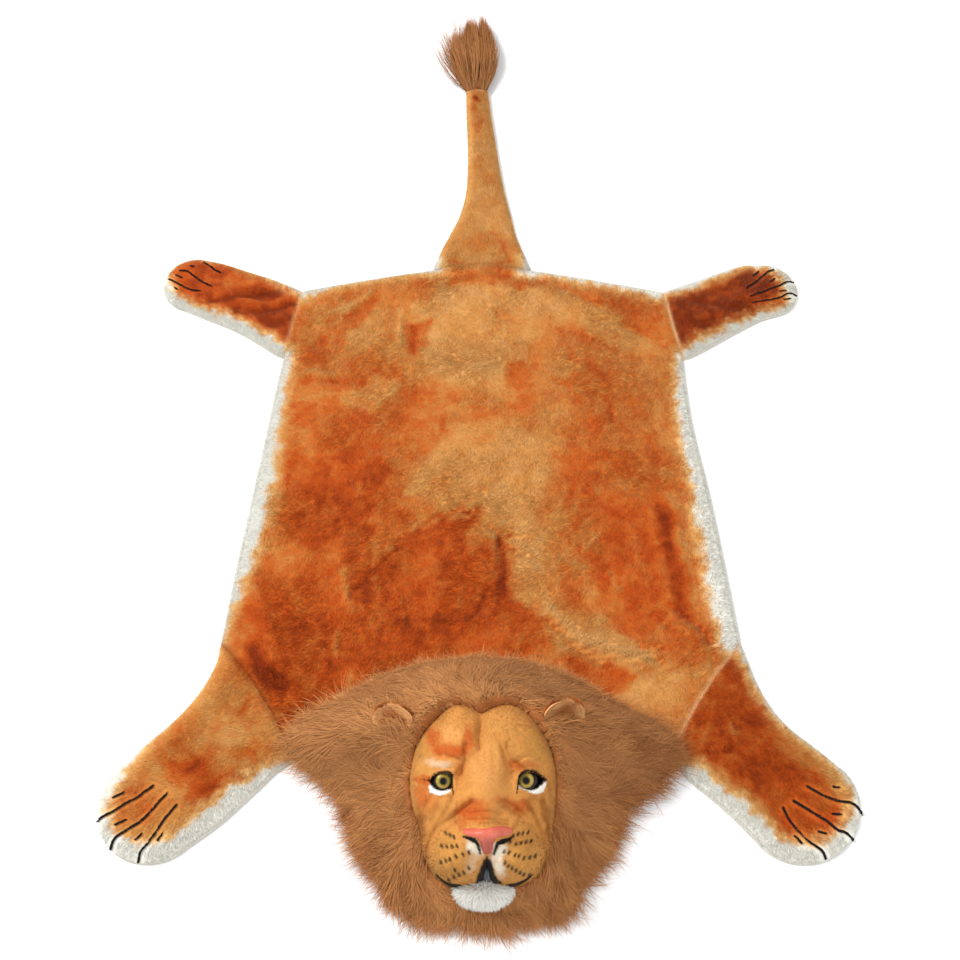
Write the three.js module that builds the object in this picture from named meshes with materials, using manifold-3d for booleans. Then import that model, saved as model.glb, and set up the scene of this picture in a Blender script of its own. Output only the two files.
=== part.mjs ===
// A plush lion-skin rug that lies flat on the floor, made the way such a rug is sewn: a back panel, four
// legs, a tail with a long-pile tuft, and a stuffed head with ears, eyes, a nose and a chin in a mane.
// Millimetres, +Z up, z = 0 is the floor. The head looks towards -Y, and "left" pieces lie at -X.

import * as THREE from "three";
import { mergeVertices } from "three/addons/utils/BufferGeometryUtils.js";
import Module from "manifold-3d";

const wasm = await Module();
wasm.setup();

// Cloth: the height of the backing with its pile, of its bound edge, and the width over which the pile rises.
const SHEET = 9;
const SHEET_EDGE = 3;
const EDGE_ROUND = 12;
// The gap between neighbouring pieces, and the height that the mane and the head keep free over the cloth.
const GAP = 0.5;
const COVER_GAP = 0.6;
// Faces that differ from one plane by less than this are joined.
const FLATNESS = 0.05;

// The four seams where the legs join the back panel, each from its tail end to its head end, as [x, y].
const SEAMS = {
  rear_left: [[-249, 178], [-259, 122], [-268, 65]],
  rear_right: [[256, 176], [266, 118], [277, 62]],
  front_left: [[-317, -359], [-282, -400], [-254, -441], [-236, -472], [-216, -505]],
  front_right: [[319, -359], [285, -399], [256, -442], [238, -473], [216, -505]],
};
// The free flanks of the back panel between those seams.
const FLANKS = {
  left: [[-268, 65], [-274, 20], [-282, -50], [-294, -150], [-306, -250], [-317, -359]],
  right: [[277, 62], [278, 20], [283, -50], [297, -150], [308, -250], [319, -359]],
};
// How far the rump's edge bows out behind the line between the rear seams, and how pointed it is.
const RUMP = { bow: 47, power: 1.25 };

// Legs: the outer and the inner edge from the seam to the widest place of the paw, and how round its end is.
const LEGS = {
  leg_front_left: {
    seam: "front_left",
    outer: [[-317, -359], [-321, -388], [-338, -425], [-364, -459], [-397, -491], [-424, -523]],
    inner: [[-216, -505], [-236, -520], [-253, -538], [-276, -562], [-303, -588], [-333, -611]],
    reach: 1.0,
  },
  leg_front_right: {
    seam: "front_right",
    outer: [[319, -359], [326, -385], [339, -424], [362, -462], [398, -495], [426, -521]],
    inner: [[216, -505], [235, -522], [251, -539], [272, -558], [295, -581], [318, -608]],
    reach: 0.93,
  },
  leg_rear_left: {
    seam: "rear_left",
    outer: [[-249, 178], [-268, 187], [-292, 198], [-326, 211], [-360, 224], [-390, 232]],
    inner: [[-268, 65], [-281, 71], [-303, 87], [-338, 110], [-374, 127], [-412, 145]],
    reach: 0.95,
  },
  leg_rear_right: {
    seam: "rear_right",
    outer: [[256, 176], [279, 185], [302, 194], [342, 211], [372, 222], [394, 222]],
    inner: [[277, 62], [291, 68], [314, 82], [350, 105], [385, 126], [412, 136]],
    reach: 0.93,
  },
};

// Tail: its two edges from the rump up to the blunt end, and how high it is stuffed along its middle.
const TAIL = {
  left: [
    [-66, 219], [-55, 250], [-43, 278], [-30, 310], [-21, 350], [-18, 395], [-18, 445], [-20, 505], [-21, 556],
  ],
  right: [
    [72, 217], [60, 250], [51, 278], [45, 310], [37, 350], [30, 395], [24, 445], [17, 505], [12, 556],
  ],
  stuffing: 6,
};

// Ridges (+) and troughs (-) of the cloth: the ends of each, its half width and its rise.
const FOLDS = [
  { panel: "body", x1: -236, y1: 60, x2: -150, y2: 88, width: 15, rise: 3.5 },
  { panel: "body", x1: -205, y1: 150, x2: -60, y2: 186, width: 16, rise: 3 },
  { panel: "body", x1: -228, y1: 112, x2: -190, y2: 24, width: 14, rise: -2.5 },
  { panel: "body", x1: 60, y1: 190, x2: 190, y2: 118, width: 17, rise: 3 },
  { panel: "body", x1: 128, y1: 140, x2: 236, y2: 96, width: 14, rise: -2.5 },
  { panel: "body", x1: 258, y1: -188, x2: 272, y2: -306, width: 14, rise: -4 },
  { panel: "body", x1: 236, y1: -176, x2: 250, y2: -296, width: 15, rise: 3.5 },
  { panel: "body", x1: -172, y1: -215, x2: -158, y2: -330, width: 15, rise: 3 },
  { panel: "body", x1: -262, y1: -330, x2: -214, y2: -420, width: 16, rise: 3.5 },
  { panel: "body", x1: -60, y1: -150, x2: 10, y2: -262, width: 18, rise: 3 },
  { panel: "body", x1: 30, y1: -120, x2: 44, y2: -250, width: 15, rise: -3 },
  { panel: "body", x1: 84, y1: -316, x2: 226, y2: -398, width: 18, rise: 3 },
  { panel: "body", x1: -90, y1: 60, x2: 30, y2: 20, width: 20, rise: 2.5 },
  { panel: "leg_front_left", x1: -282, y1: -470, x2: -352, y2: -548, width: 15, rise: 3.5 },
  { panel: "leg_front_left", x1: -300, y1: -430, x2: -330, y2: -480, width: 14, rise: -2.5 },
  { panel: "leg_front_right", x1: 268, y1: -478, x2: 336, y2: -506, width: 15, rise: 3 },
  { panel: "leg_front_right", x1: 340, y1: -500, x2: 386, y2: -560, width: 15, rise: 3 },
  { panel: "leg_rear_left", x1: -276, y1: 132, x2: -372, y2: 176, width: 12, rise: 3.5 },
  { panel: "leg_rear_left", x1: -290, y1: 158, x2: -350, y2: 190, width: 9, rise: -2.5 },
  { panel: "leg_rear_right", x1: 296, y1: 122, x2: 384, y2: 170, width: 14, rise: 3 },
  { panel: "tail", x1: -30, y1: 240, x2: 40, y2: 236, width: 9, rise: -2.5 },
];

// The face frame: its origin lies between the eyes, its a axis runs along +X, b up the sloping face and n
// out of it.
const FACE = { x: 4, y: -574, z: 132, lean: Math.PI / 6 };

// The outline of the stuffed head as seen along n, anticlockwise from the right ear's side, as [a, b].
const HEAD_OUTLINE = [
  [79.6, -6.4], [77, 13], [72.5, 30], [64.4, 46], [53, 61], [40, 71.5], [27, 76.5], [12, 74.5], [-3, 69],
  [-15, 73.5], [-29, 76.5], [-41, 71], [-51, 62], [-64, 48], [-73.5, 30], [-79.5, 5.8],
  [-81.5, -14.6], [-78.5, -39.1], [-70.3, -65.6], [-66.2, -92.1], [-57, -112.5], [-38.7, -126.8],
  [-15.2, -127.8], [18.4, -127.8], [42.9, -125.8], [62.3, -111.5], [72.5, -90.1], [76.6, -59.5],
  [79.6, -28.9],
];
const HEAD = { centreA: 0, centreB: -28, rim: -44, dome: 45, power: 3.1, columns: 64, rings: 14 };

// Swellings (+) and hollows (-) of the stuffed face: centre, half widths and rise.
const FEATURES = [
  { name: "left brow lobe", a: -30, b: 54, wa: 22, wb: 25, rise: 8 },
  { name: "right brow lobe", a: 28, b: 55, wa: 22, wb: 25, rise: 8 },
  { name: "cleft between the lobes", a: -2, b: 72, wa: 8, wb: 22, rise: -7 },
  { name: "left brow ridge", a: -42, b: 22, wa: 20, wb: 12, rise: 4 },
  { name: "right brow ridge", a: 45, b: 23, wa: 20, wb: 12, rise: 4 },
  { name: "left eye hollow", a: -45, b: -5, wa: 19, wb: 14, rise: -9 },
  { name: "right eye hollow", a: 48, b: -4, wa: 19, wb: 14, rise: -9 },
  { name: "bridge of the nose", a: 2, b: -22, wa: 19, wb: 40, rise: 12 },
  { name: "nose end", a: 3, b: -56, wa: 25, wb: 17, rise: 14 },
  { name: "left whisker pad", a: -33, b: -90, wa: 26, wb: 26, rise: 22 },
  { name: "right whisker pad", a: 38, b: -90, wa: 26, wb: 26, rise: 22 },
  { name: "left cheek crease", a: -50, b: -44, wa: 9, wb: 20, rise: -9 },
  { name: "right cheek crease", a: 55, b: -44, wa: 9, wb: 20, rise: -9 },
  { name: "cleft of the lip", a: 3, b: -104, wa: 6, wb: 22, rise: -12 },
];

const EYES = {
  eye_left: { a: -44.4, b: -4, n: -17, radius: 12.5 },
  eye_right: { a: 47.4, b: -3.4, n: -17, radius: 12.5 },
};

// The nose: its outline as [a, b], the level of its back in the head, and the size and depth of its layers.
const NOSE = {
  outline: [[-21, -51], [-10, -48], [3, -47], [16, -47], [27, -49], [25, -57], [14, -63], [11, -76], [3, -80],
    [-5, -76], [-8, -64], [-18, -58]],
  back: 2,
  middle: [3, -58],
  layers: [{ size: 1, depth: 18 }, { size: 0.88, depth: 21.5 }, { size: 0.76, depth: 23 }],
};

// The dark mouth between the whisker pads: outline, back and depth.
const MOUTH = {
  outline: [[3, -84], [8, -94], [12, -108], [14, -121], [-9, -121], [-7, -108], [-2, -94]],
  back: -70,
  depth: 40,
};

// The white chin: centre and half sizes seen along n, the level of its rim and how far it swells above it.
const CHIN = { a: 0, b: -132, halfA: 33, halfB: 17, rim: -54, dome: 26, power: 2.4, columns: 28, rings: 5 };

// Ears: half width, height above the root, cup, thickness and roundness of the flap. For each ear, the middle of
// its root in the face frame, how far its top leans out along n, its turn and its roll, in degrees.
const EAR = { halfWidth: 24, height: 34, cup: 10, thickness: 7, roundness: 3.2, columns: 10, rows: 7 };
const EARS = {
  ear_left: { a: -96, b: 45, n: -41, lean: 28, turn: 20, roll: 6 },
  ear_right: { a: 84, b: 48, n: -40, lean: 30, turn: -20, roll: -6 },
};

// Mane: the rim of its slab in plan as [x, y], clockwise from the left wing.
const MANE_RIM = [
  [-226, -490], [-201, -461], [-158, -436], [-98, -406], [-34, -392], [36, -392], [98, -411], [152, -444],
  [200, -467], [228, -493], [223, -522], [194, -548], [160, -576], [141, -606], [117, -636], [102, -664],
  [80, -684], [34, -692], [-16, -692], [-60, -685], [-90, -668], [-110, -640], [-134, -602], [-147, -566],
  [-172, -541], [-206, -521],
];
// The point that the mane swells over, its height over that point towards the back, the side and the front, how
// full its slopes are there, and the thickness of its rim.
const MANE = {
  x: 2, y: -520, back: 160, side: 150, front: 100, backPower: 2.3, sidePower: 1.8, frontPower: 1.3,
  rimOnCloth: 25, rimOnFloor: 14, lump: 5, columns: 66, rings: 9,
};
// Locks of long pile round the mane's rim: how many, their size, and how far inside the rim they are rooted.
const MANE_LOCKS = { count: 84, length: 22, spread: 12, width: 17, height: 10, inset: 12, lift: 3 };

// The tuft at the tail's end: where its roots are bound, its layers of locks and their sizes.
const TUFT = {
  x: -4.5, y: 556.5, halfWidth: 17, depth: 26, height: 15, width: 9.5, thickness: 7, tip: 720,
  layers: [
    { locks: 11, level: 0.4, fan: 0.4, tilt: -0.05, length: 0.88 },
    { locks: 9, level: 5.5, fan: 0.32, tilt: -0.05, length: 0.97 },
    { locks: 7, level: 10, fan: 0.22, tilt: -0.05, length: 1.0 },
  ],
};

const vector = (x, y) => new THREE.Vector2(x, y);
const mix = THREE.MathUtils.lerp;
// A repeatable uneven number from 0 to 1 for each index.
const uneven = (i, k = 1) => (((Math.sin(i * 12.9898 + k * 78.233) * 43758.5453) % 1) + 1) % 1;

// A smooth curve through [x, y] points, as a function of t from 0 to 1.
function smooth(points, closed = false) {
  const curve = new THREE.CatmullRomCurve3(points.map(([x, y]) => new THREE.Vector3(x, y, 0)), closed);
  return (t) => {
    const p = curve.getPoint(t);
    return vector(p.x, p.y);
  };
}

// Columns lie closer together towards both edges of a panel, where its pile rounds off.
function columnPlaces(count) {
  const EDGE_SHARE = 0.75;
  return Array.from({ length: count + 1 }, (_, k) =>
    mix(k / count, 0.5 - 0.5 * Math.cos((Math.PI * k) / count), EDGE_SHARE));
}

// The rim of a grid of points, once round: first row, last column, last row back, first column back.
function rimOf(grid) {
  const last = grid.length - 1;
  const wide = grid[0].length - 1;
  const loop = [];
  for (let j = 0; j < wide; j++) loop.push([0, j]);
  for (let i = 0; i < last; i++) loop.push([i, wide]);
  for (let j = wide; j > 0; j--) loop.push([last, j]);
  for (let i = last; i > 0; i--) loop.push([i, 0]);
  return loop;
}

function geometryOf(positions, index) {
  return new THREE.BufferGeometry()
    .setAttribute("position", new THREE.Float32BufferAttribute(positions, 3))
    .setIndex(index);
}

// A closed solid between a grid of top points {x, y, z} and the floor plane under it.
function solidUnder(grid) {
  const wide = grid[0].length;
  const top = grid.flat();
  const half = top.length;
  const positions = [...top.flatMap((p) => [p.x, p.y, p.z]), ...top.flatMap((p) => [p.x, p.y, 0])];
  const rim = rimOf(grid).map(([i, j]) => i * wide + j);
  const faces = [];
  for (let i = 0; i + 1 < grid.length; i++) {
    for (let j = 0; j + 1 < wide; j++) {
      const [a, b, c, d] = [i * wide + j, i * wide + j + 1, (i + 1) * wide + j + 1, (i + 1) * wide + j];
      faces.push([a, b, c], [a, c, d], [half + a, half + c, half + b], [half + a, half + d, half + c]);
    }
  }
  rim.forEach((k, r) => {
    const next = rim[(r + 1) % rim.length];
    faces.push([k, half + k, half + next], [k, half + next, next]);
  });
  const outward = Math.sign(THREE.ShapeUtils.area(rim.map((k) => vector(top[k].x, top[k].y)))) > 0;
  const index = faces.flatMap(([a, b, c]) => (outward ? [a, b, c] : [a, c, b]));
  return toSolid(geometryOf(positions, index)).simplify(FLATNESS);
}

function toSolid(geometry) {
  const bare = geometry.index ? geometry.toNonIndexed() : geometry.clone();
  bare.deleteAttribute("normal");
  bare.deleteAttribute("uv");
  const merged = mergeVertices(bare, 1e-3);
  return new wasm.Manifold(new wasm.Mesh({
    numProp: 3,
    vertProperties: merged.attributes.position.array,
    triVerts: new Uint32Array(merged.index.array),
  }));
}

function toGeometry(solid) {
  const mesh = solid.getMesh();
  const positions = [];
  for (let i = 0; i < mesh.numVert; i++) {
    positions.push(...mesh.vertProperties.subarray(i * mesh.numProp, i * mesh.numProp + 3));
  }
  return geometryOf(positions, Array.from(mesh.triVerts));
}

function distanceToSegment(p, a, b) {
  const along = b.clone().sub(a);
  const t = THREE.MathUtils.clamp(p.clone().sub(a).dot(along) / along.lengthSq(), 0, 1);
  return p.distanceTo(a.clone().addScaledVector(along, t));
}

function distanceToOutline(p, outline) {
  let nearest = Infinity;
  outline.forEach((q, k) => {
    nearest = Math.min(nearest, distanceToSegment(p, q, outline[(k + 1) % outline.length]));
  });
  return nearest;
}

// The pile rises from the bound edge to its full height like a quarter of an ellipse.
function pileHeight(distance) {
  const t = Math.min(1, distance / EDGE_ROUND);
  return SHEET_EDGE + (SHEET - SHEET_EDGE) * Math.sqrt(1 - (1 - t) ** 2);
}

// Folds are soft ridges with a bell-shaped section that fades out where the mane covers the cloth.
function foldHeight(panel, p, coverOutline) {
  let rise = 0;
  FOLDS.filter((fold) => fold.panel === panel).forEach((fold) => {
    const away = distanceToSegment(p, vector(fold.x1, fold.y1), vector(fold.x2, fold.y2));
    rise += fold.rise * Math.exp(-((away / fold.width) ** 2));
  });
  const FADE = 30;
  const inside = insideOutline(p, coverOutline);
  const clear = inside ? 0 : Math.min(1, distanceToOutline(p, coverOutline) / FADE);
  return rise * clear;
}

function insideOutline(p, outline) {
  let inside = false;
  outline.forEach((a, k) => {
    const b = outline[(k + 1) % outline.length];
    if (a.y > p.y !== b.y > p.y && p.x < a.x + ((p.y - a.y) / (b.y - a.y)) * (b.x - a.x)) inside = !inside;
  });
  return inside;
}

// Gives a plan grid of Vector2 its pile height, folds and stuffing, as points {x, y, z}.
function raised(panel, plan, extra = () => 0) {
  const outline = rimOf(plan).map(([i, j]) => plan[i][j]);
  const cover = maneCover();
  return plan.map((row) => row.map((p) => {
    const edge = distanceToOutline(p, outline);
    const inner = Math.min(1, edge / (2 * EDGE_ROUND));
    const z = pileHeight(edge) + inner * (foldHeight(panel, p, cover) + extra(p, edge));
    return { x: p.x, y: p.y, z };
  }));
}

// The outline that the mane reaches with its locks, in plan.
function maneCover() {
  const rim = smooth(MANE_RIM, true);
  const reach = 1 + (MANE_LOCKS.length + MANE_LOCKS.spread) / 220;
  const STEPS = 60;
  return Array.from({ length: STEPS }, (_, k) => {
    const p = rim(k / STEPS);
    return vector(MANE.x + (p.x - MANE.x) * reach, MANE.y + (p.y - MANE.y) * reach);
  });
}

// The back panel: sections from the rump to the neck between its left and right edges.
function backPlan() {
  const spans = [
    { left: SEAMS.rear_left, right: SEAMS.rear_right, steps: 9, ease: (t) => t ** 1.5 },
    { left: FLANKS.left, right: FLANKS.right, steps: 20, ease: (t) => t },
    { left: SEAMS.front_left, right: SEAMS.front_right, steps: 10, ease: (t) => 1 - (1 - t) ** 1.4 },
  ];
  const columns = columnPlaces(40);
  const plan = [];
  spans.forEach((span, number) => {
    const left = smooth(span.left);
    const right = smooth(span.right);
    for (let k = number ? 1 : 0; k <= span.steps; k++) {
      const t = span.ease(k / span.steps);
      const [a, b] = [left(t), right(t)];
      const bow = number === 0 ? RUMP.bow * (1 - t) ** 1.5 : 0;
      plan.push(columns.map((v) => {
        const p = a.clone().lerp(b, v);
        p.y += bow * (1 - Math.abs(2 * v - 1) ** RUMP.power);
        return p;
      }));
    }
  });
  return plan;
}

// A leg: sections from its curved seam to the widest place of the paw, and then round the paw's end.
function legPlan(leg) {
  const STEPS = 15;
  const END_STEPS = 6;
  const END_TURN = THREE.MathUtils.degToRad(84);
  const columns = columnPlaces(12);
  const seam = smooth(SEAMS[leg.seam]);
  const outer = smooth(leg.outer);
  const inner = smooth(leg.inner);
  const chord = inner(0).sub(outer(0));
  const away = vector(-chord.y, chord.x).normalize();
  if (away.dot(outer(1).sub(outer(0))) < 0) away.negate();
  const plan = [];
  for (let k = 0; k <= STEPS; k++) {
    const t = (k / STEPS) ** 1.3;
    const [a, b] = [outer(t), inner(t)];
    const fade = (1 - t) ** 3;
    plan.push(columns.map((v) => {
      const straight = outer(0).lerp(inner(0), v);
      return a.clone().lerp(b, v)
        .addScaledVector(seam(v).sub(straight), fade)
        .addScaledVector(away, GAP * fade);
    }));
  }
  const middle = outer(1).lerp(inner(1), 0.5);
  const half = outer(1).sub(middle);
  const forward = vector(-half.y, half.x);
  if (forward.dot(middle.clone().sub(outer(0))) < 0) forward.negate();
  for (let k = 1; k <= END_STEPS; k++) {
    const turn = (END_TURN * k) / END_STEPS;
    const centre = middle.clone().addScaledVector(forward, leg.reach * Math.sin(turn));
    plan.push(columns.map((v) => centre.clone().addScaledVector(half, (1 - 2 * v) * Math.cos(turn))));
  }
  return plan;
}

// The tail: sections from the rump's bowed edge to the blunt end.
function tailPlan() {
  const STEPS = 26;
  const columns = columnPlaces(10);
  const left = smooth(TAIL.left);
  const right = smooth(TAIL.right);
  const [rumpLeft, rumpRight] = [SEAMS.rear_left[0], SEAMS.rear_right[0]];
  const rumpEdge = (x) => {
    const v = (x - rumpLeft[0]) / (rumpRight[0] - rumpLeft[0]);
    return mix(rumpLeft[1], rumpRight[1], v) + RUMP.bow * (1 - Math.abs(2 * v - 1) ** RUMP.power);
  };
  const plan = [];
  for (let k = 0; k <= STEPS; k++) {
    const t = (k / STEPS) ** 1.2;
    const fade = (1 - t) ** 8;
    plan.push(columns.map((v) => {
      const p = left(t).lerp(right(t), v);
      const start = left(0).lerp(right(0), v);
      p.y += fade * (rumpEdge(start.x) + 2 * GAP - start.y);
      return p;
    }));
  }
  return plan;
}

function tailStuffing(p, edge) {
  const FULL = 14;
  return TAIL.stuffing * Math.min(1, edge / FULL) * THREE.MathUtils.smoothstep(p.y, 240, 330);
}

// From the face frame to the rug's frame.
function fromFace(a, b, n) {
  const [c, s] = [Math.cos(FACE.lean), Math.sin(FACE.lean)];
  return new THREE.Vector3(FACE.x + a, FACE.y + b * c - n * s, FACE.z + b * s + n * c);
}

// A stuffed form that is a dome seen along n, with straight sides down to the floor against n.
// outline(t) is its edge, centre the dome's middle, and level(a, b, r) its height along n.
function domed({ centre, outline, level, columns, rings }) {
  const floorUnder = (p) => new THREE.Vector3(p.x, p.y + p.z * Math.tan(FACE.lean), 0);
  const points = [fromFace(centre.x, centre.y, level(centre.x, centre.y, 0))];
  const faces = [];
  const at = (ring, column) => (ring === 0 ? 0 : 1 + (ring - 1) * columns + (column % columns));
  for (let ring = 1; ring <= rings; ring++) {
    const r = 1 - (1 - ring / rings) ** 1.15;
    for (let column = 0; column < columns; column++) {
      const p = centre.clone().lerp(outline(column / columns), r);
      points.push(fromFace(p.x, p.y, level(p.x, p.y, r)));
    }
  }
  for (let column = 0; column < columns; column++) {
    points.push(floorUnder(points[at(rings, column)]));
    for (let ring = 0; ring <= rings; ring++) {
      const [a, b] = [at(ring, column), at(ring, column + 1)];
      const [c, d] = [at(ring + 1, column + 1), at(ring + 1, column)];
      if (ring === 0) faces.push(a, d, c);
      else faces.push(a, d, c, a, c, b);
    }
  }
  const floorCentre = points.length;
  points.push(floorUnder(fromFace(centre.x, centre.y, level(centre.x, centre.y, 1))));
  for (let column = 0; column < columns; column++) {
    faces.push(floorCentre, at(rings + 1, column + 1), at(rings + 1, column));
  }
  return toSolid(geometryOf(points.flatMap((p) => [p.x, p.y, p.z]), faces));
}

// A prism along n over an outline in the face frame, which can be a little larger on all sides.
function facePrism(outline, back, depth, grow = 0) {
  const shape = new THREE.Shape(outline.map(([a, b]) => vector(a, b)));
  const geometry = new THREE.ExtrudeGeometry(shape, {
    depth,
    bevelEnabled: grow > 0,
    bevelThickness: grow,
    bevelSize: grow,
    bevelSegments: 1,
  });
  return placedOnFace(toSolid(geometry.translate(0, 0, back)));
}

function placedOnFace(solid) {
  const turned = solid.rotate([THREE.MathUtils.radToDeg(FACE.lean), 0, 0]);
  return turned.translate([FACE.x, FACE.y, FACE.z]);
}

function headLevel(a, b, r) {
  let n = HEAD.rim + HEAD.dome * (1 - Math.min(1, r) ** HEAD.power) ** 0.62;
  const fade = 1 - Math.min(1, r) ** 6;
  FEATURES.forEach((f) => {
    n += fade * f.rise * Math.exp(-(((a - f.a) / f.wa) ** 2) - ((b - f.b) / f.wb) ** 2);
  });
  return n;
}

function headForm(grow = 0) {
  const centre = vector(HEAD.centreA, HEAD.centreB);
  const edge = smooth(HEAD_OUTLINE, true);
  const outline = (t) => {
    const p = edge(t);
    return p.add(p.clone().sub(centre).setLength(grow));
  };
  return domed({ centre, outline, level: headLevel, columns: HEAD.columns, rings: HEAD.rings });
}

function chinForm(grow = 0) {
  const centre = vector(CHIN.a, CHIN.b);
  const outline = (t) => {
    const turn = 2 * Math.PI * t;
    return vector(CHIN.a + (CHIN.halfA + grow) * Math.cos(turn), CHIN.b + (CHIN.halfB + grow) * Math.sin(turn));
  };
  const level = (a, b, r) => CHIN.rim + grow + CHIN.dome * Math.sqrt(Math.max(0, 1 - r ** CHIN.power));
  return domed({ centre, outline, level, columns: CHIN.columns, rings: CHIN.rings });
}

// Everything that lies over or under an outline in the face frame: it clears the mane off the face.
function alongFace(outline) {
  const FAR = 400;
  return facePrism(outline, -FAR, 2 * FAR, GAP);
}

function eyeSphere(eye, grow = 0) {
  const at = fromFace(eye.a, eye.b, eye.n);
  const geometry = new THREE.SphereGeometry(eye.radius + grow, 18, 10);
  return toSolid(geometry.translate(at.x, at.y, at.z));
}

// The nose steps in towards its front, so that its edge is rounded.
function noseForm() {
  const middle = vector(...NOSE.middle);
  const layers = NOSE.layers.map(({ size, depth }) => {
    const outline = NOSE.outline.map(([a, b]) => middle.clone().lerp(vector(a, b), size).toArray());
    return facePrism(outline, NOSE.back, depth);
  });
  return wasm.Manifold.union(layers);
}

// An ear: a cupped, rounded flap between a front and a back surface, in the face frame.
function earForm(ear, grow = 0) {
  const front = [];
  const back = [];
  for (let row = 0; row <= EAR.rows; row++) {
    const v = Math.sin(((row / EAR.rows) * Math.PI) / 2);
    const wide = (EAR.halfWidth + grow) * Math.max(0.2, (1 - v ** EAR.roundness) ** (1 / EAR.roundness));
    const height = v * (EAR.height + grow);
    front.push([]);
    back.push([]);
    for (let column = 0; column <= EAR.columns; column++) {
      const u = (2 * column) / EAR.columns - 1;
      const cup = -EAR.cup * (1 - u * u) * (1 - 0.5 * v);
      const edge = Math.sqrt(Math.max(0.08, 1 - u ** 4));
      front[row].push(new THREE.Vector3(u * wide, height, cup + grow));
      back[row].push(new THREE.Vector3(u * wide, height, cup - EAR.thickness * edge - grow));
    }
  }
  const wideCount = EAR.columns + 1;
  const points = [...front.flat(), ...back.flat()];
  const half = front.flat().length;
  const faces = [];
  for (let i = 0; i < EAR.rows; i++) {
    for (let j = 0; j < EAR.columns; j++) {
      const [a, b] = [i * wideCount + j, i * wideCount + j + 1];
      const [c, d] = [b + wideCount, a + wideCount];
      faces.push(a, b, c, a, c, d, half + a, half + c, half + b, half + a, half + d, half + c);
    }
  }
  const rim = rimOf(front).map(([i, j]) => i * wideCount + j);
  rim.forEach((k, r) => {
    const next = rim[(r + 1) % rim.length];
    faces.push(k, half + k, half + next, k, half + next, next);
  });
  const solid = toSolid(geometryOf(points.flatMap((p) => [p.x, p.y, p.z]), faces));
  const turned = solid.rotate([ear.lean, 0, 0]).rotate([0, -ear.turn, ear.roll]);
  return placedOnFace(turned.translate([ear.a, ear.b, ear.n]));
}

// The rim's thickness: more where the mane lies on the cloth than where it lies on the floor.
function maneRimHeight(y) {
  const onCloth = THREE.MathUtils.smoothstep(y, -560, -490);
  return mix(MANE.rimOnFloor, MANE.rimOnCloth, onCloth);
}

// The mane's own slab: a lumpy mound over its rim, highest behind the face.
function maneMound() {
  const rim = smooth(MANE_RIM, true);
  const centre = vector(MANE.x, MANE.y);
  const { columns, rings } = MANE;
  const points = [new THREE.Vector3(MANE.x, MANE.y, MANE.side)];
  const at = (ring, column) => 1 + (ring - 1) * columns + (((column % columns) + columns) % columns);
  for (let ring = 1; ring <= rings; ring++) {
    const r = 1 - (1 - ring / rings) ** 1.2;
    for (let column = 0; column < columns; column++) {
      const edge = rim(column / columns);
      const p = centre.clone().lerp(edge, r);
      const turn = Math.atan2(edge.y - centre.y, edge.x - centre.x);
      const s = Math.sin(turn);
      const top = MANE.side + ((MANE.back - MANE.front) / 2) * s
        + ((MANE.back + MANE.front) / 2 - MANE.side) * s * s;
      const power = MANE.sidePower + ((MANE.backPower - MANE.frontPower) / 2) * s
        + ((MANE.backPower + MANE.frontPower) / 2 - MANE.sidePower) * s * s;
      const low = maneRimHeight(edge.y);
      const lump = MANE.lump * Math.sin(9 * turn + 7 * r) * Math.cos(5 * turn - 11 * r) * 4 * r * (1 - r);
      points.push(new THREE.Vector3(p.x, p.y, low + (top - low) * (1 - r ** power) + lump));
    }
  }
  const faces = [];
  for (let column = 0; column < columns; column++) {
    faces.push(0, at(1, column + 1), at(1, column));
    for (let ring = 1; ring < rings; ring++) {
      const [a, b] = [at(ring, column), at(ring, column + 1)];
      const [c, d] = [at(ring + 1, column + 1), at(ring + 1, column)];
      faces.push(a, b, c, a, c, d);
    }
  }
  const base = points.length;
  for (let column = 0; column < columns; column++) {
    const p = points[at(rings, column)];
    points.push(new THREE.Vector3(p.x, p.y, 0));
    const [a, b] = [at(rings, column), at(rings, column + 1)];
    const [c, d] = [base + ((column + 1) % columns), base + column];
    faces.push(a, b, c, a, c, d, base + columns, d, c);
  }
  points.push(new THREE.Vector3(MANE.x, MANE.y, 0));
  return toSolid(geometryOf(points.flatMap((p) => [p.x, p.y, p.z]), faces));
}

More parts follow.
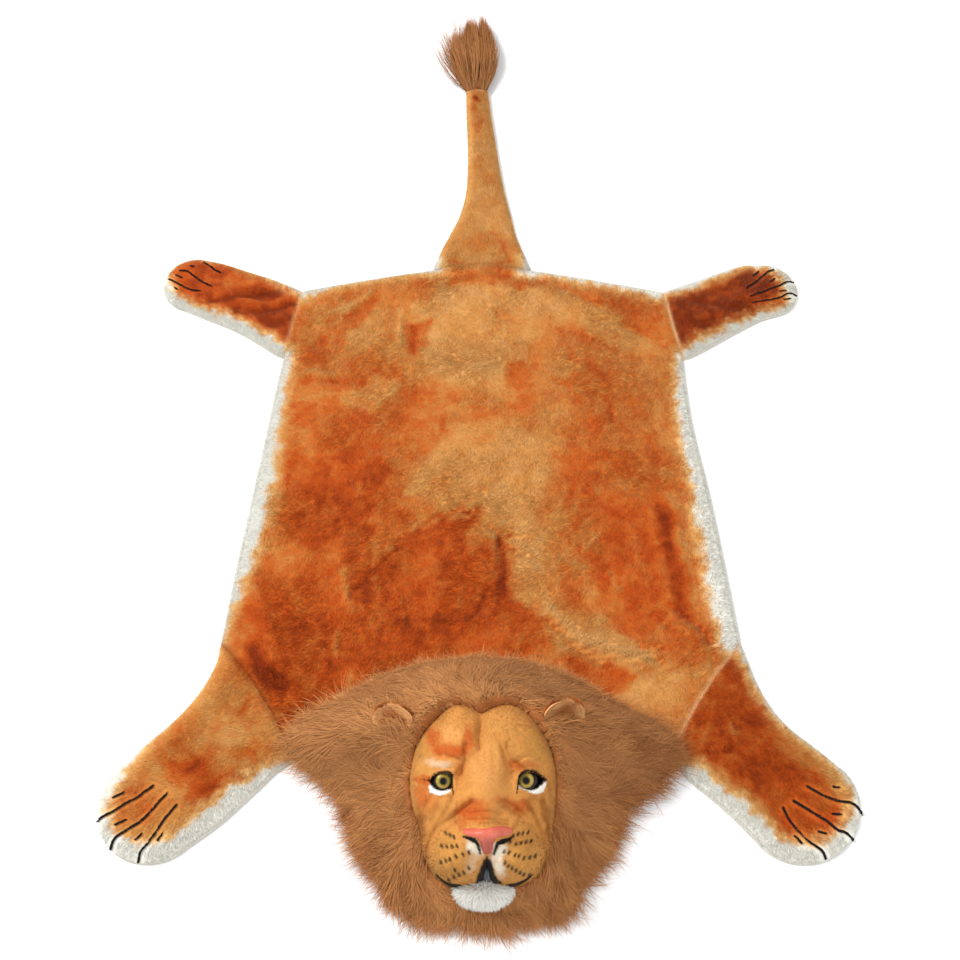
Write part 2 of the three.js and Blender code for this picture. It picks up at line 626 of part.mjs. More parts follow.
// A tapered lock of pile with three sides and a level underside, from a root point along a direction in plan.
function lock({ x, y, z, direction, length, width, height, rise = 0, bend = 0 }) {
  const along = vector(Math.cos(direction), Math.sin(direction));
  const across = vector(-along.y, along.x);
  const SECTIONS = [
    { at: 0, size: 0.8 },
    { at: 0.45, size: 1 },
    { at: 0.8, size: 0.5 },
  ];
  const points = [];
  SECTIONS.forEach(({ at, size }) => {
    const middle = vector(x, y).addScaledVector(along, at * length).addScaledVector(across, bend * at * at);
    const low = z + rise * at;
    [[-0.5, 0], [0.5, 0], [0, 1]].forEach(([side, up]) => {
      const p = middle.clone().addScaledVector(across, side * width * size);
      points.push(p.x, p.y, low + up * height * size);
    });
  });
  const tip = vector(x, y).addScaledVector(along, length).addScaledVector(across, bend);
  points.push(tip.x, tip.y, z + rise + 0.4);
  const faces = [0, 1, 2];
  for (let k = 0; k < SECTIONS.length - 1; k++) {
    for (let side = 0; side < 3; side++) {
      const [a, b] = [3 * k + side, 3 * k + ((side + 1) % 3)];
      faces.push(a, a + 3, b + 3, a, b + 3, b);
    }
  }
  const [end, apex] = [3 * (SECTIONS.length - 1), 3 * SECTIONS.length];
  for (let side = 0; side < 3; side++) faces.push(end + side, apex, end + ((side + 1) % 3));
  const made = toSolid(geometryOf(points, faces));
  if (made.volume() > 0) return made;
  const turned = [];
  for (let k = 0; k < faces.length; k += 3) turned.push(faces[k], faces[k + 2], faces[k + 1]);
  return toSolid(geometryOf(points, turned));
}

function maneLocks() {
  const rim = smooth(MANE_RIM, true);
  const { count, length, spread, width, height, inset, lift } = MANE_LOCKS;
  const STEP = 1e-3;
  return Array.from({ length: count }, (_, k) => {
    const t = (k + 0.3 * uneven(k)) / count;
    const p = rim(t);
    const tangent = rim((t + STEP) % 1).sub(p);
    const outward = Math.atan2(tangent.x, -tangent.y) + 0.5 * (uneven(k, 2) - 0.5);
    const flat = vector(Math.cos(outward), Math.sin(outward));
    const root = p.clone().addScaledVector(flat, -inset);
    const onCloth = THREE.MathUtils.smoothstep(p.y, -560, -500);
    return lock({
      x: root.x, y: root.y,
      z: onCloth > 0 ? SHEET + COVER_GAP + lift : 0,
      direction: outward,
      length: inset + length + spread * (uneven(k, 3) - 0.5),
      width: width * (0.8 + 0.5 * uneven(k, 4)),
      height: height * (0.8 + 0.4 * uneven(k, 5)),
      bend: 7 * (uneven(k, 6) - 0.5),
    });
  });
}

// The space that a cloth panel takes, a little enlarged, which the mane and the head keep free.
function spaceOver(plan) {
  const outline = rimOf(plan).map(([i, j]) => plan[i][j]);
  const turn = Math.sign(THREE.ShapeUtils.area(outline));
  const middle = outline.map((p, k) => {
    const before = outline[(k + outline.length - 1) % outline.length];
    const after = outline[(k + 1) % outline.length];
    const along = after.clone().sub(before).normalize();
    return p.clone().add(vector(along.y, -along.x).multiplyScalar(turn * COVER_GAP));
  });
  const geometry = new THREE.ExtrudeGeometry(new THREE.Shape(middle), {
    depth: SHEET + COVER_GAP + 1,
    bevelEnabled: false,
  });
  return toSolid(geometry.translate(0, 0, -1));
}

function tuftForm() {
  const { x, y, halfWidth, depth, height, width, thickness, tip } = TUFT;
  const head = toSolid(new THREE.SphereGeometry(1, 16, 10).scale(halfWidth, depth / 2, height / 2)
    .translate(x, y + depth / 4, height / 2));
  const locks = TUFT.layers.flatMap((layer, number) => Array.from({ length: layer.locks }, (_, k) => {
    const side = (2 * k) / (layer.locks - 1) - 1;
    const shorter = 1 - 0.22 * Math.abs(side) ** 2 - 0.1 * uneven(k, number + 7);
    return lock({
      x: x + side * (halfWidth - 4), y: y + depth * 0.45, z: layer.level,
      direction: Math.PI / 2 - side * layer.fan - layer.tilt,
      length: (tip - y - depth * 0.45) * layer.length * (k === (layer.locks - 1) / 2 ? 1 : shorter),
      width, height: thickness,
      rise: number === 0 ? 0 : -0.4 * layer.level,
      bend: 8 * (uneven(k, number + 3) - 0.5),
    });
  }));
  return wasm.Manifold.union([head, ...locks]).trimByPlane([0, 1, 0], y);
}

// The largest piece of a solid, without the crumbs that a cut can leave.
function largest(solid) {
  return solid.decompose().sort((p, q) => q.volume() - p.volume())[0];
}

const MATERIALS = {
  plush: new THREE.MeshStandardMaterial({ color: 0xc06a2c, roughness: 0.95, metalness: 0 }),
  facePlush: new THREE.MeshStandardMaterial({ color: 0xd9994f, roughness: 0.95, metalness: 0 }),
  longPile: new THREE.MeshStandardMaterial({ color: 0xa8714a, roughness: 1, metalness: 0 }),
  whitePlush: new THREE.MeshStandardMaterial({ color: 0xe6e3dc, roughness: 0.95, metalness: 0 }),
  glassEye: new THREE.MeshStandardMaterial({ color: 0x6b5a22, roughness: 0.08, metalness: 0 }),
  noseRubber: new THREE.MeshStandardMaterial({ color: 0xe8806c, roughness: 0.45, metalness: 0 }),
  mouthLining: new THREE.MeshStandardMaterial({ color: 0x26262a, roughness: 0.6, metalness: 0 }),
};

const rug = new THREE.Group();
const cloth = new THREE.Group();
const head = new THREE.Group();
rug.add(cloth, head);

function add(group, name, geometry, material) {
  const mesh = new THREE.Mesh(geometry, MATERIALS[material]);
  mesh.name = name;
  group.add(mesh);
}

// Cloth panels
const back = backPlan();
const legs = Object.fromEntries(Object.entries(LEGS).map(([name, leg]) => [name, legPlan(leg)]));
add(cloth, "body", toGeometry(solidUnder(raised("body", back))), "plush");
Object.entries(legs).forEach(([name, plan]) => {
  add(cloth, name, toGeometry(solidUnder(raised(name, plan))), "plush");
});
add(cloth, "tail", toGeometry(solidUnder(raised("tail", tailPlan(), tailStuffing))), "plush");
add(cloth, "tail_tuft", toGeometry(tuftForm()), "longPile");

// Head and what is let into it
const OUT = 200;
const clothSpace = [back, legs.leg_front_left, legs.leg_front_right].map(spaceOver);
const eyes = Object.entries(EYES);
const ears = Object.entries(EARS);
let skull = headForm().subtract(chinForm(GAP));
clothSpace.forEach((space) => { skull = skull.subtract(space); });
eyes.forEach(([, eye]) => { skull = skull.subtract(eyeSphere(eye, GAP)); });
skull = skull.subtract(facePrism(NOSE.outline, NOSE.back - GAP, OUT, GAP));
skull = skull.subtract(facePrism(MOUTH.outline, MOUTH.back - GAP, OUT, GAP));
const mouth = facePrism(MOUTH.outline, MOUTH.back, MOUTH.depth).subtract(chinForm(GAP));
add(head, "head", toGeometry(largest(skull)), "facePlush");
add(head, "chin", toGeometry(chinForm()), "whitePlush");
add(head, "mouth", toGeometry(largest(mouth)), "mouthLining");
add(head, "nose", toGeometry(noseForm()), "noseRubber");
eyes.forEach(([name, eye]) => add(head, name, toGeometry(eyeSphere(eye)), "glassEye"));
ears.forEach(([name, ear]) => add(head, name, toGeometry(earForm(ear)), "facePlush"));

// Mane round the head
const headCurve = smooth(HEAD_OUTLINE, true);
const headEdge = Array.from({ length: HEAD.columns }, (_, k) => {
  const p = headCurve(k / HEAD.columns);
  return [p.x, p.y];
});
let mane = wasm.Manifold.union([maneMound(), ...maneLocks()]);
clothSpace.forEach((space) => { mane = mane.subtract(space); });
const chinEdge = Array.from({ length: CHIN.columns }, (_, k) => {
  const turn = (2 * Math.PI * k) / CHIN.columns;
  return [CHIN.a + CHIN.halfA * Math.cos(turn), CHIN.b + CHIN.halfB * Math.sin(turn)];
});
mane = mane.subtract(alongFace(headEdge)).subtract(alongFace(chinEdge));
ears.forEach(([, ear]) => { mane = mane.subtract(earForm(ear, GAP)); });
add(head, "mane", toGeometry(largest(mane)), "longPile");

export default rug;
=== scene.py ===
"""Looks of a plush lion-skin rug that lies flat on the floor with its head towards -Y.

Every shape is worked out in millimetres from the tables below and then written into its mesh in metres. The
pile is made of thousands of short blades, and the mane and the tail's tuft are made of tapered hairs. Seeded
random draws place them all, so that each run gives the same rug.
"""

import bpy
import numpy as np
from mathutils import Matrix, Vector


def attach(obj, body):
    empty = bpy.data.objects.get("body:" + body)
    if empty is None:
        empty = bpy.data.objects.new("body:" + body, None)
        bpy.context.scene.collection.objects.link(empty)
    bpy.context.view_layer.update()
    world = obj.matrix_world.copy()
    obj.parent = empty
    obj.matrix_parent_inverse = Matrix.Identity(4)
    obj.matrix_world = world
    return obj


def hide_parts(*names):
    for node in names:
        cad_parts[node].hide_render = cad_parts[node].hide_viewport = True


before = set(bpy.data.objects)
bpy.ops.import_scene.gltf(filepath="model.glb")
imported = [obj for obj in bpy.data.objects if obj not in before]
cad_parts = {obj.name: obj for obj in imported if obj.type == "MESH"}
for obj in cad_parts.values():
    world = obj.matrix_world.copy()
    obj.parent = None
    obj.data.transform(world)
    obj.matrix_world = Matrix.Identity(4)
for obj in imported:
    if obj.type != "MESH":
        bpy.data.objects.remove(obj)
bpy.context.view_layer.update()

MM = 0.001
BODY = "root"
TINY, SLIGHT = 1e-12, 1e-6

# Sizes and tables, in millimetres

# Cloth: the height of its ground, bound edge, thinnest place and underside, and over what width its edge rises.
GROUND, BOUND_EDGE, THINNEST, UNDERSIDE = 6.4, 2.4, 1.2, 0.2
EDGE_ROUND = 12.0
SEAM_DIP, SEAM_WIDTH = 2.2, 3.5

# Rows and columns of the grids that the pieces are worked out on, and points along a short line.
BACK_ROWS, BACK_COLUMNS = (36, 150, 44), 191
LEG_ROWS, PAW_ROWS, LEG_COLUMNS = 77, 22, 65
TAIL_ROWS, TAIL_COLUMNS = 151, 41
MANE_RINGS, MANE_TURNS = 34, 180
TUFT_ROWS, TUFT_TURNS = 26, 40
HEAD_RINGS, HEAD_TURNS = 96, 240
EYE_ROWS, EYE_TURNS = 40, 64
NOSE_RINGS, NOSE_TURNS = 22, 110
MOUTH_RINGS, MOUTH_TURNS = 14, 64
CHIN_RINGS, CHIN_TURNS = 30, 110
EAR_ROWS, EAR_COLUMNS = 26, 40
EDGE_POINTS, NOSE_POINTS, LID_POINTS, LOOP_POINTS = 60, 60, 40, 1440
MANE_STEPS, TUFT_STEPS, CHIN_STEPS = 5, 6, 5

# Pile of the cloth panels: how many blades, their length and width, and how far they swirl, in radians.
PILE = {
    "back": {"count": 190000, "length": 5.6, "width": 1.35, "swirl": 1.5},
    "leg": {"count": 26000, "length": 6.0, "width": 1.3, "swirl": 0.9},
    "tail": {"count": 22000, "length": 6.5, "width": 1.3, "swirl": 0.6},
}
# Black pile of the toe marks: blades to a millimetre, how far from the ground's grid they may stand, their
# length, width and rise, how far behind and above their place they start, and the share of it they fill.
TOE = {
    "blades": 3.6, "reach": 2.2, "length": 3.8, "width": 1.5,
    "rise": 0.12, "back": 1.4, "up": 1.3, "fill": 0.85,
}
HEAD_BLADES, EAR_BLADES = 60000, 3600
MANE_HAIRS, TUFT_HAIRS, CHIN_HAIRS = 52000, 6500, 5200

SEAMS = {
    "rear_left": [(-249, 178), (-259, 122), (-268, 65)],
    "rear_right": [(256, 176), (266, 118), (277, 62)],
    "front_left": [(-317, -359), (-282, -400), (-254, -441), (-236, -472), (-216, -505)],
    "front_right": [(319, -359), (285, -399), (256, -442), (238, -473), (216, -505)],
}
# How pale the pile looks along each seam, or how dark below 0, which is a painted shade in its fold: on the
# back panel, and on the leg or the tail.
SEAM_TONES = {
    "rear_left": (0.35, 0.35),
    "rear_right": (0.8, 0.8),
    "front_left": (-0.6, -0.35),
    "front_right": (0.7, 0.7),
    "tail": (-0.35, -0.2),
}
FLANKS = {
    "left": [(-268, 65), (-274, 20), (-282, -50), (-294, -150), (-306, -250), (-317, -359)],
    "right": [(277, 62), (278, 20), (283, -50), (297, -150), (308, -250), (319, -359)],
}
RUMP_BOW, RUMP_POWER, BOW_FADE = 47, 1.25, 1.5

# Legs: their seam, their sides, how far the paw reaches past them, how wide the cream border is at even steps
# along the sides and the tip, and how warm the pile is dyed.
LEGS = {
    "leg_front_left": {
        "seam": "front_left",
        "outer": [(-317, -359), (-321, -388), (-338, -425), (-364, -459), (-397, -491), (-424, -523)],
        "inner": [(-216, -505), (-236, -520), (-253, -538), (-276, -562), (-303, -588), (-333, -611)],
        "reach": 1.0,
        "cream": {"outer": [0, 0, 0, 0, 2, 8], "inner": [0, 6, 15, 22, 24, 22], "tip": [8, 12, 16, 18, 22]},
        "warmth": 0.27,
    },
    "leg_front_right": {
        "seam": "front_right",
        "outer": [(319, -359), (326, -385), (339, -424), (362, -462), (398, -495), (426, -521)],
        "inner": [(216, -505), (235, -522), (251, -539), (272, -558), (295, -581), (318, -608)],
        "reach": 0.93,
        "cream": {"outer": [9, 5, 4, 3, 3, 6], "inner": [0, 12, 20, 21, 21, 22], "tip": [6, 10, 17, 20, 22]},
        "warmth": 0.84,
    },
    "leg_rear_left": {
        "seam": "rear_left",
        "outer": [(-249, 178), (-268, 187), (-292, 198), (-326, 211), (-360, 224), (-390, 232)],
        "inner": [(-268, 65), (-281, 71), (-303, 87), (-338, 110), (-374, 127), (-412, 145)],
        "reach": 0.95,
        "cream": {"outer": [8, 5, 2, 0, 0, 0], "inner": [11, 15, 16, 13, 11, 12], "tip": [0, 0, 3, 9, 12]},
        "warmth": 0.94,
    },
    "leg_rear_right": {
        "seam": "rear_right",
        "outer": [(256, 176), (279, 185), (302, 194), (342, 211), (372, 222), (394, 222)],
        "inner": [(277, 62), (291, 68), (314, 82), (350, 105), (385, 126), (412, 136)],
        "reach": 0.93,
        "cream": {"outer": [11, 10, 9, 6, 2, 3], "inner": [12, 13, 13, 10, 8, 7], "tip": [4, 9, 15, 8, 7]},
        "warmth": 1.08,
    },
}
LEG_FADE = 3

TAIL = {
    "left": [
        (-67, 219), (-55, 250), (-43, 278), (-30, 310), (-21, 350), (-18, 395), (-18, 445), (-20, 505),
        (-21, 556),
    ],
    "right": [
        (72, 217), (60, 250), (51, 278), (45, 310), (37, 350), (30, 395), (24, 445), (17, 505), (12, 556),
    ],
    "middle": 3,
    "fade": 8,
    "overlap": 0.5,
    "stuffing": 6,
    "stuffed_from": (240, 330),
    "cream": ([215, 228, 245], [9, 5, 0]),
    "warmth": 0.16,
}

# How wide the cream border is along the back panel's free edges: at these places, these widths.
BACK_CREAM = {
    "left": ([-359, -330, -290, -230, -190, -120, -60, 0, 65], [2, 4, 12, 20, 22, 21, 17, 13, 9]),
    "right": ([-359, -330, -280, -200, -120, -60, 0, 40, 65], [20, 24, 27, 23, 19, 17, 14, 10, 8]),
    "rump": (
        [-249, -225, -200, -95, -75, -60, 60, 75, 95, 150, 210, 256],
        [15, 9, 3, 2, 6, 8, 10, 14, 8, 7, 9, 14],
    ),
}
BACK_WARMTH = 0.47
BACK_LAY = (0.15, 1.0)

# Folds of each panel: the line, half width, and rise, which is below 0 for a trough.
FOLDS = {
    "body": [
        ([(-236, 60), (-150, 88)], 15, 3.5), ([(-205, 150), (-60, 186)], 16, 3),
        ([(-228, 112), (-190, 24)], 14, -2.5), ([(60, 190), (190, 118)], 17, 3),
        ([(128, 140), (236, 96)], 14, -2.5), ([(258, -188), (272, -306)], 14, -4),
        ([(236, -176), (250, -296)], 15, 3.5), ([(-172, -215), (-158, -330)], 15, 3),
        ([(-262, -330), (-214, -420)], 16, 3.5), ([(-60, -150), (10, -262)], 18, 3),
        ([(30, -120), (44, -250)], 15, -3), ([(84, -316), (226, -398)], 18, 3),
        ([(-90, 60), (30, 20)], 20, 2.5),
    ],
    "leg_front_left": [([(-282, -470), (-352, -548)], 15, 3.5), ([(-300, -430), (-330, -480)], 14, -2.5)],
    "leg_front_right": [([(268, -478), (336, -506)], 15, 3), ([(340, -500), (386, -560)], 15, 3)],
    "leg_rear_left": [([(-276, 132), (-372, 176)], 12, 3.5), ([(-290, 158), (-350, 190)], 9, -2.5)],
    "leg_rear_right": [([(296, 122), (384, 170)], 14, 3)],
    "tail": [([(-30, 240), (40, 236)], 9, -2.5)],
}

# Creases of each panel: line, half width, rise, which is above 0 for a ridge, and how much darker they are
# painted, paler below 0: painted shade in a trough and painted light on a ridge.
CREASES = {
    "leg_rear_left": [
        ([(-377, 156), (-310, 168), (-270, 174)], 5, -3, 0.3),
        ([(-345, 141), (-298, 137), (-259, 153)], 6, -3.5, 0.35),
        ([(-322, 125), (-281, 115)], 5, -2.5, 0.3), ([(-354, 184), (-306, 191)], 5, 2.5, -0.3),
        ([(-340, 160), (-300, 152), (-266, 162)], 4, 2.5, -0.22),
    ],
    "body": [
        ([(-205, 137), (-172, 151), (-151, 172)], 4, 2.5, -0.3),
        ([(-210, 124), (-170, 137), (-140, 160)], 6, -2, 0.22), ([(-111, 144), (-109, 83)], 3, 2, -0.32),
        ([(-97, 118), (-92, 70)], 8, -2, 0.4), ([(-254, 31), (-228, 40), (-200, 36)], 4, 2, -0.25),
        ([(-251, 20), (-222, 26), (-190, 24)], 4, -2, 0.18),
        ([(-251, -8), (-188, 5), (-144, -5)], 3, 1.5, -0.2),
        ([(-172, -262), (-166, -292), (-158, -318)], 2.5, 2, -0.3),
        ([(-130, -270), (-128, -310)], 2.5, 1.5, -0.25),
        ([(28, -205), (33, -240), (31, -268), (25, -303)], 8, -2.5, 0.3),
        ([(16, -212), (20, -250)], 4, 2.5, -0.25), ([(236, -176), (241, -233), (254, -323)], 12, -4, 0.2),
        ([(222, -180), (226, -236), (238, -320)], 7, 3, -0.14),
        ([(249, -160), (258, -245), (264, -300)], 8, 3, -0.3),
        ([(232, -306), (246, -320), (264, -329), (287, -362)], 5, -3, 0.3),
        ([(236, -318), (256, -338), (274, -366)], 5, 2, -0.2),
        ([(86, -316), (122, -350), (158, -370), (200, -378)], 5, 3, -0.36),
        ([(84, -330), (118, -364), (150, -386)], 6, -2.5, 0.3),
        ([(-280, -366), (-262, -396), (-238, -412)], 9, -4, 0.42),
        ([(-19, -178), (-8, -174), (5, -167)], 2.2, -2, 0.5), ([(-18, -171), (-5, -164)], 2.2, 1.5, -0.2),
        ([(36, -209), (51, -214), (63, -213)], 2.5, -2, 0.45),
        ([(33, -226), (48, -232), (61, -240)], 2.5, -2, 0.4), ([(41, -219), (58, -226)], 2.2, 2, -0.3),
        ([(13, -194), (23, -209), (25, -226)], 2.5, -2, 0.4),
        ([(-12, -329), (0, -310), (10, -285), (20, -271)], 3, -2, 0.25),
        ([(-160, -278), (-165, -292), (-166, -307)], 2, 2, -0.2),
        ([(-174, -345), (-176, -375)], 2, 2, -0.45), ([(-155, -397), (-159, -427)], 2, 2, -0.4),
        ([(-22, -282), (-27, -310)], 2, 2, -0.35), ([(-98, -296), (-96, -323)], 1.8, 1.5, -0.3),
        ([(-146, -188), (-123, -194)], 2.5, 1.5, -0.3), ([(-137, -212), (-129, -240)], 2.5, 1.5, -0.25),
        ([(189, -384), (198, -395), (208, -396)], 2.5, -2, 0.4),
        ([(215, -378), (223, -390)], 2.5, -2, 0.4), ([(199, -379), (209, -384)], 2.2, 2, -0.25),
        ([(227, -397), (240, -392), (250, -382)], 2.5, -2, 0.35),
        ([(163, -263), (171, -288)], 3, 2, -0.3), ([(134, -229), (150, -209)], 3, 1.5, -0.25),
        ([(198, -318), (224, -331), (245, -350)], 3, -2, 0.2),
        ([(98, -350), (146, -366), (202, -382)], 3.5, 3, -0.25),
        ([(0, 160), (28, 140), (50, 129)], 2, -1.5, 0.3), ([(83, 143), (105, 129)], 2, -1.5, 0.3),
        ([(156, 7), (174, -12), (175, -37)], 2.5, -1.5, 0.3),
        ([(-76, -200), (-51, -181), (-13, -171)], 3.5, -2, 0.2),
        ([(-159, -290), (-135, -265), (-101, -226)], 3.5, -2.5, 0.2),
        ([(22, 137), (32, 131), (44, 127)], 3, -2, 0.3),
        ([(-4, 108), (10, 101), (20, 104)], 3, -1.5, 0.2),
        ([(30, 96), (46, 84), (52, 70)], 3, -1.5, 0.25),
        ([(112, 186), (140, 168), (167, 151)], 6, -2.5, 0.3),
        ([(126, 196), (158, 176), (190, 160)], 4, 2, -0.25),
        ([(196, 120), (226, 104), (252, 84)], 5, -2, 0.22),
        ([(-40, 24), (-8, 44), (22, 56)], 3.5, 2, -0.2),
        ([(-60, -30), (-20, -12), (10, -16)], 3, 1.5, -0.2),
        ([(96, 30), (118, 16), (130, -10)], 4, -1.5, 0.2),
        ([(56, 204), (20, 200), (-20, 203), (-56, 206)], 4, -2, 0.22),
    ],
    "leg_front_left": [
        ([(-276, -424), (-284, -450), (-310, -470)], 4, -2, 0.22),
        ([(-270, -500), (-310, -498), (-340, -520)], 8, -2.5, 0.3),
    ],
    "leg_front_right": [
        ([(240, -498), (274, -500), (300, -496)], 3, -1.5, 0.2),
        ([(292, -452), (300, -480), (298, -506)], 3, 1.5, -0.2),
    ],
    "leg_rear_right": [([(292, 158), (330, 146), (362, 141)], 5, -1.5, 0.1)],
    "tail": [
        ([(-46, 228), (-20, 224), (20, 225), (52, 228)], 3.5, -2, 0.3),
        ([(30, 262), (38, 244), (40, 232)], 5, -1.5, 0.35),
    ],
}

# Where the nap of a panel lies another way and so catches the light otherwise, painted paler or deeper as
# painted light and shade: how warm it looks, and its outline.
NAP_FIELDS = {
    "body": [
        (0.1, [(-67, 152), (-56, 178), (-14, 186), (28, 186), (56, 178), (70, 152), (61, 109), (57, 67),
         (43, 34), (34, 7), (0, 5), (-34, 13), (-65, 26), (-71, 59), (-66, 109)]),
        (0.2, [(3, -44), (27, -19), (53, -45), (66, -92), (78, -144), (74, -181), (26, -191), (-13, -167),
         (-51, -177), (-77, -159), (-101, -156), (-78, -114), (-53, -76)]),
        (0.22, [(95, 181), (167, 143), (207, 117), (235, 84), (232, 64), (191, 76), (151, 101), (127,
         126), (106, 152)]),
        (0.24, [(-188, 2), (-135, 34), (-105, 18), (-118, -6), (-147, -22), (-180, -14)]),
        (0.24, [(38, -253), (73, -263), (81, -299), (101, -315), (93, -345), (146, -362), (195, -375),
         (271, -392), (257, -423), (205, -413), (160, -390), (97, -369), (74, -335), (52, -304), (35,
         -288)]),
        (0.92, [(-223, -301), (-162, -290), (-143, -268), (-126, -249), (-101, -217), (-76, -200), (-38,
         -188), (-5, -181), (-18, -224), (-13, -240), (15, -214), (29, -210), (33, -246), (30, -301), (50,
         -304), (80, -329), (63, -375), (24, -371), (-12, -392), (-61, -392), (-96, -408), (-144, -433),
         (-178, -454), (-231, -469), (-262, -421), (-283, -369), (-256, -331)]),
        (0.84, [(-246, -92), (-183, -96), (-131, -99), (-114, -120), (-126, -152), (-180, -159), (-242,
         -168), (-254, -129)]),
        (0.78, [(-99, 117), (-69, 126), (-70, 76), (-94, 66)]),
        (0.72, [(34, 56), (57, 59), (68, 34), (56, 7), (36, 7)]),
        (0.64, [(158, -6), (228, 1), (232, -69), (234, -129), (219, -159), (176, -144), (156, -114)]),
        (0.9, [(222, -156), (242, -159), (256, -217), (265, -301), (258, -331), (246, -329), (237, -274),
         (228, -217)]),
        (0.76, [(150, -271), (213, -260), (242, -318), (274, -355), (248, -371), (195, -369), (169, -347),
         (148, -315)]),
        (0.82, [(107, -382), (146, -384), (191, -395), (180, -423), (131, -439), (103, -418)]),
        (0.72, [(39, -331), (80, -331), (93, -369), (49, -379)]),
        (0.62, [(-42, 216), (85, 216), (98, 188), (56, 178), (8, 188), (-42, 185)]),
        (0.72, [(-207, 112), (-183, 129), (-181, 84), (-199, 59), (-244, 49), (-237, 72)]),
        (0.66, [(168, 181), (237, 164), (252, 133), (252, 92), (228, 102), (194, 140)]),
        (0.58, [(-140, 178), (-56, 195), (-64, 160), (-112, 160), (-179, 109), (-194, 129)]),
    ],
}
NAP_SHARE, NAP_BLUR = 0.85, 3.5

# Where the pile looks warmer, or paler below 0, than the rest: x, y, half widths, turn in degrees, amount.
DYE_PATCHES = [
    (6, 112, 78, 100, 0, -0.56), (125, 150, 60, 34, -18, -0.36), (190, 170, 50, 22, -25, 0.3),
    (96, 190, 40, 12, -15, 0.3), (176, 96, 60, 16, -20, 0.22), (70, 60, 20, 30, 0, 0.2),
    (13, -108, 76, 50, 10, -0.52), (34, -180, 34, 55, -15, -0.34), (216, 48, 56, 60, 0, -0.08),
    (120, 40, 62, 44, 0, 0.12), (76, -262, 26, 62, 12, -0.36), (-186, 108, 60, 44, 20, -0.22),
    (146, -352, 62, 32, -20, -0.36), (204, -416, 42, 32, -10, -0.36), (110, -30, 36, 90, 0, -0.2),
    (-120, -90, 40, 30, 30, -0.18), (-172, -155, 80, 100, 0, 0.36), (-222, -352, 64, 88, 12, 0.26),
    (-62, -352, 118, 54, -8, 0.34), (-110, -300, 120, 52, 6, 0.3), (145, -112, 44, 84, 10, 0.26),
    (204, -246, 58, 86, -8, 0.36), (-200, 2, 52, 60, 0, 0.2), (94, -300, 30, 40, 0, 0.34),
    (-106, -30, 52, 72, 20, 0.2), (178, -10, 40, 60, -10, 0.16), (-270, -400, 30, 60, 20, 0.16),
    (-312, -470, 42, 26, -40, -0.2), (-338, -520, 34, 22, -40, 0.34), (-300, -548, 52, 22, 35, 0.5),
    (-348, -470, 30, 30, 0, 0.24), (-402, -560, 34, 24, 40, 0.3), (-352, -590, 36, 24, 40, -0.12),
    (330, -470, 60, 60, 0, 0.1), (392, -510, 50, 20, -35, -0.42), (300, -560, 60, 18, -40, -0.35),
    (428, -540, 24, 30, 0, -0.35), (-330, 205, 50, 12, 20, -0.22), (-340, 120, 50, 14, -30, -0.28),
    (-280, 130, 20, 50, 0, 0.15), (330, 200, 50, 14, 20, -0.4), (420, 150, 30, 16, 20, -0.45),
    (22, 262, 40, 16, 0, 0.3), (-40, 232, 30, 12, 20, 0.2), (-5, 539, 6, 6, 0, 0.9),
    (-6, 516, 6, 12, 0, 0.4), (0, 470, 5, 12, 0, 0.25),
]

# Toe marks on the paws: how thick each is, and its line.
TOE_MARKS = {
    "leg_front_left": [
        (2.8, [(-440, -582), (-430, -575), (-422, -571), (-409, -561), (-396, -554), (-388, -547), (-379,
         -540)]),
        (2.9, [(-420, -614), (-417, -604), (-411, -597), (-397, -588), (-386, -579), (-371, -560), (-361,
         -549)]),
        (2.5, [(-387, -629), (-385, -618), (-378, -608), (-370, -595), (-363, -581), (-356, -571), (-349,
         -562)]),
        (2.3, [(-424, -554), (-412, -548)]), (2.3, [(-418, -586), (-406, -580)]),
        (2.3, [(-392, -604), (-386, -597)]), (2.0, [(-367, -604), (-362, -596)]),
    ],
    "leg_front_right": [
        (3.0, [(441, -573), (435, -565), (427, -560), (415, -558), (402, -554), (388, -547), (378,
         -541)]),
        (3.0, [(426, -603), (418, -595), (409, -592), (399, -583), (385, -574), (372, -565), (361,
         -558)]),
        (2.8, [(392, -625), (388, -616), (382, -611), (373, -604), (358, -586), (352, -575), (349,
         -566)]),
        (2.4, [(410, -541), (417, -542)]), (2.4, [(405, -573), (415, -574)]),
        (2.4, [(386, -594), (395, -596)]), (2.6, [(359, -599), (366, -608)]),
    ],
    "leg_rear_left": [
        (2.6, [(-391, 225), (-381, 218), (-374, 212), (-365, 207)]),
        (2.6, [(-423, 211), (-413, 209), (-401, 200), (-388, 189), (-376, 181)]),
        (2.4, [(-438, 197), (-428, 191), (-417, 184), (-405, 177), (-391, 175)]),
        (2.2, [(-409, 219), (-404, 218)]), (2.2, [(-428, 203), (-419, 198)]),
        (2.2, [(-428, 182), (-424, 179)]),
    ],
    "leg_rear_right": [
        (2.5, [(414, 212), (406, 209), (396, 200), (387, 191), (372, 179)]),
        (2.5, [(440, 191), (431, 191), (420, 184), (408, 179), (394, 172), (376, 163)]),
        (2.2, [(442, 168), (431, 170), (421, 165), (411, 161), (397, 158), (378, 153)]),
        (2.2, [(384, 202), (393, 210)]), (2.2, [(407, 191), (414, 196)]), (2.2, [(419, 174), (428, 175)]),
        (2.0, [(423, 160), (432, 161)]),
    ],
}

